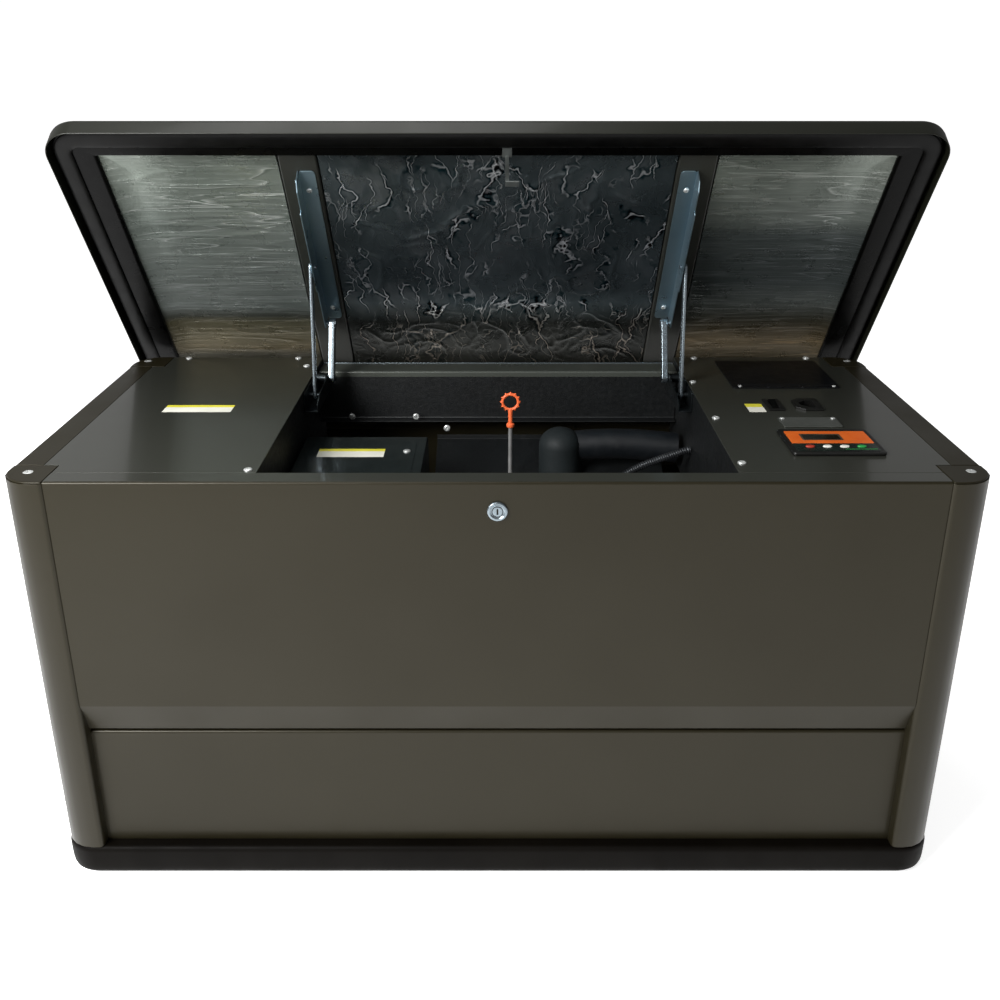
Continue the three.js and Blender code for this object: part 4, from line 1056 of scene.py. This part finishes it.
def stay_arm(side, flip):
    (x0, x1), _, _ = span("lid_arm_right")
    start, end = ARM_PIVOTS
    across = (260.5, 269.5)
    bar = plate(long_hole(start, end, 8), across, "x", holes=[circle(4.3, start, 24)], edge=1.2)
    pin = lathe([(2, x0), (3.4, x0 + 0.3), (4, x0 + 1), (4, x1 - 0.8), (3.4, x1)], "x", end, 24)
    washer = lathe([(6.6, across[0] - 1.4), (7, across[0] - 1), (7, across[0] + 0.1)], "x", end, 28)
    piece(f"stay_arm_{side}", flip(merged(bar, pin, washer)), BRIGHT_ZINC, [f"lid_arm_{side}"], "lid_arms")


def stay_rod(side, flip):
    (x0, x1), _, _ = span("lid_rod_right")
    start, end = ROD_PIVOTS
    bar = plate(long_hole(start, end, 7), (x1 - 5, x1), "x", holes=[circle(4.3, start, 24)], edge=2)
    pin = lathe([(3, x0), (3.5, x0 + 0.4), (3.5, x1 - 1)], "x", end, 24)
    piece(f"stay_rod_{side}", flip(merged(bar, pin)), BRIGHT_ZINC, [f"lid_rod_{side}"], "lid_rods")


def stays():
    """Both stays are drawn on the right, and the left one is turned over."""
    for side, sign, flip in (("left", -1, mirrored_x), ("right", 1, lambda bm: bm)):
        stay_channel(side, sign, flip)
        stay_arm(side, flip)
        stay_rod(side, flip)


# ---------- inside the bay ----------
def air_box():
    x, y, (foot, top) = span("air_cleaner_box")
    slope = 16
    side = [(y[0], foot), (y[1], foot), (y[1] - slope, top), (y[0], top)]
    body = prism(rounded(side, [2, 2, 12, 8], closed=True, steps=6), x, "x")
    piece("air_box_case", body, GLOSS_BLACK, ["air_cleaner_box"], edge=3, crease=50)
    outline = box_outline(inset(x, 14), inset(y, 30, 34), 10)
    piece("air_box_panel", plate(outline, (top - 0.5, top + AIR_BOX_RIDGE)), GLOSS_BLACK)
    screws("air_box_screws", [(-132, 4, top + AIR_BOX_RIDGE)])


def hoses():
    x, y = 98, 132
    foot, shoulder, crown = 330, 484, 512
    rise = [Vector((x, y, foot + (shoulder - foot) * i / 12)) for i in range(13)]
    steps = 10
    turns = [pi / 2 * i / steps for i in range(1, steps + 1)]
    neck = [Vector((x, y, shoulder + (crown - shoulder) * sin(turn))) for turn in turns]

    def riser_radius(travelled, turn):
        over = min(1.0, max(0.0, (travelled - (shoulder - foot)) / (crown - shoulder)))
        return 33.5 * sqrt(max(1 - over * over, 0.004))

    piece("intake_riser", tube(rise + neck, riser_radius, 44), HOSE_RUBBER, ["intake_hose"])
    # The run wears the darker hose rubber: painted shade.
    run = smooth_route([(100, 136, 478), (150, 139, 482), (210, 140, 482), (282, 140, 476)], 8)
    piece("intake_run", tube(run, lambda travelled, turn: 24.0, 36), RUN_SHADED_RUBBER)
    pitch = 3.4
    knots = [(290, 62, 502), (274, 61, 498), (205, 60, 470), (158, 58, 430), (128, 54, 360), (124, 52, 286)]

    def wound(travelled, turn):
        return 5.9 - 1.1 * (0.5 + 0.5 * cos(2 * pi * travelled / pitch - turn)) ** 2

    bm = tube(evenly(smooth_route(knots, 24), pitch / 8), wound, 20)
    piece("wound_conduit", bm, CONDUIT_STEEL, ["conduit"], crease=80)


def dipstick():
    x, y = middle(span("dipstick")[0]), 105
    tube_top, ring_z = 523, 564
    sides, across = 120, 12
    rings = []
    for i in range(sides):
        turn = 2 * pi * i / sides
        scallop = 1 + 0.9 * max(0.0, cos(turn * 12)) ** 1.5
        ring = []
        for k in range(across):
            angle = 2 * pi * k / across
            reach = 2.3 * cos(angle)
            radius = 12 + reach * (scallop if reach > 0 else 1)
            across_x, up = radius * cos(turn), radius * sin(turn)
            ring.append((x + across_x, y + 2.6 * sin(angle), ring_z + up))
        rings.append(ring)
    loop = loft(rings, loop=True)
    stem = lathe([
        (3.2, tube_top + 0.4), (5.8, tube_top + 0.8), (6.2, tube_top + 2), (6.2, tube_top + 5),
        (5.2, tube_top + 6.4), (3.6, tube_top + 7), (3.3, tube_top + 12), (3.3, tube_top + 22),
        (3.8, tube_top + 28), (2.5, ring_z - 10.4),
    ], "z", (x, y), 28)
    piece("dipstick_grip", merged(loop, stem), ORANGE, body="dipstick")
    wall = [(3.05, 400), (3.25, 401), (3.25, tube_top), (2.5, tube_top + 0.2), (2.5, 400)]
    piece("dipstick_sleeve", lathe(wall, "z", (x, y), 24), TUBE_STEEL)
    outline = box_outline((x - 1.5, x + 1.5), (262, tube_top + 1), 1)
    blade = plate(outline, (y - 0.5, y + 0.5), "y", edge=0.15)
    piece("dipstick_blade", blade, STEEL, ["dipstick"], "dipstick")


def bay_fittings():
    """Sheet supports beside the engine, and the screws that show inside the bay."""
    ledge = [(96, 424), (206, 466), (206, 474)]
    piece("bay_ledge", prism(bent_sheet(ledge, [0, 2.5, 0]), (-100, 262), "x"), BLACK_PAINT, edge=0.4)
    screws("bay_wall_screws", [(-239, 204, 506), (-134, 204, 506), (-84, 204, 486)], facing="-y")
    screws("bay_side_screws", [(span("bay_wall_right")[0][0], 192, 459)], facing="-x")


# ---------- CAD nodes that stay ----------
KEPT = {
    "engine_block": CAST, "cylinder_head_front": CAST, "cylinder_head_rear": CAST, "crankshaft_rotor": STEEL,
    "flywheel_fan": CAST, "fan_shroud": BLACK_PAINT, "alternator_stator": CAST, "muffler": STEEL,
    "battery": BLACK_PLASTIC, "gas_regulator": CAST, "breaker_rocker": RUBBER,
    "breaker_frame": BLACK_PLASTIC, "inlet_socket": BLACK_PLASTIC, "lock_striker": STRIKER_ZINC,
    "hinge_bracket_left": DARK_ZINC, "hinge_bracket_right": DARK_ZINC,
    **{f"rubber_mount_{i + 1}": RUBBER for i in range(4)},
}


def kept_nodes():
    for name, look in KEPT.items():
        obj = frame["nodes"][name]
        obj.data.materials.clear()
        obj.data.materials.append(look)
        obj.data.shade_smooth()
        weld = obj.modifiers.new("weld", "WELD")
        weld.merge_threshold = 0.02 * MM
        soften(obj, 0.5, 35, keep_sharp=False)


# ---------- stage, light and camera ----------
def floor():
    half = 60
    bm = bmesh.new()
    corners = ((-half, -half), (half, -half), (half, half), (-half, half))
    bm.faces.new([bm.verts.new((x, y, 0)) for x, y in corners])
    obj = linked("floor", mesh_of("floor", bm))
    obj.location.z = cad_low.z - 0.0005
    tones = ((247, 247, 247), (250, 250, 250))
    look = surface("floor_pale", tones, 0.8, 0, 0.6, 60, 0, specular=0.05)
    shader = look.node_tree.nodes["Principled BSDF"]
    feed(look.node_tree, shader, {"Emission Color": (1, 1, 1, 1), "Emission Strength": 0.8})
    obj.data.materials.append(look)


def area_light(name, place, target, size, power):
    light = bpy.data.lights.new(name, "AREA")
    light.shape = "RECTANGLE"
    light.size, light.size_y = size
    light.energy = power
    obj = linked(name, light)
    obj.location = place
    obj.rotation_euler = (Vector(target) - Vector(place)).to_track_quat("-Z", "Y").to_euler()
    obj.visible_camera = False


def studio():
    """White to look at, and brighter from the left than from the right as a light."""
    left, right, seen_white = 0.45, 0.14, 1.05
    world = bpy.data.worlds.new("studio")
    world.use_nodes = True
    tree = world.node_tree
    place = add_node(tree, "TexCoord", {})
    split = add_node(tree, "SeparateXYZ", {"Vector": place.outputs["Generated"]})
    across = add_node(tree, "MapRange", {
        "Value": split.outputs["X"], "From Min": -1, "From Max": 1, "To Min": left, "To Max": right,
    })
    seen = add_node(tree, "LightPath", {}).outputs["Is Camera Ray"]
    level = add_node(tree, "Mix", {"Factor": seen, "A": across.outputs["Result"], "B": seen_white})
    feed(tree, tree.nodes["Background"], {"Color": (1, 1, 1, 1), "Strength": level.outputs["Result"]})
    bpy.context.scene.world = world
    bpy.context.scene.view_settings.view_transform = "Standard"
    area_light("key", (-1.15, -1.25, 1.5), (0.1, 0, 0.4), (0.9, 0.9), 68)
    area_light("top", (-0.5, 0.2, 2.6), (0, 0, 0.5), (1.6, 1.0), 18)
    area_light("rear", (-0.6, 2.0, 0.45), (0, 0.3, 0.4), (1.0, 0.6), 30)


def camera():
    data = bpy.data.cameras.new("camera")
    data.sensor_width = 36
    data.lens = 37.31
    data.shift_y = -0.05
    obj = linked("camera", data)
    obj.location = (0.0030, -1.3991, 1.0626)
    obj.rotation_euler = (radians(69), 0, 0)
    bpy.context.scene.camera = obj


base_tray()
front_panels()
front_flange()
corner_posts()
side_panels()
rear_panel()
top_covers()
bay_panels()
cabinet_screws()
labels()
controller()
hatch_and_plate()
lock()
lid_cover()
lid_rim()
lid_ribs()
lid_pads()
stays()
air_box()
hoses()
dipstick()
bay_fittings()
kept_nodes()
floor()
studio()
camera()
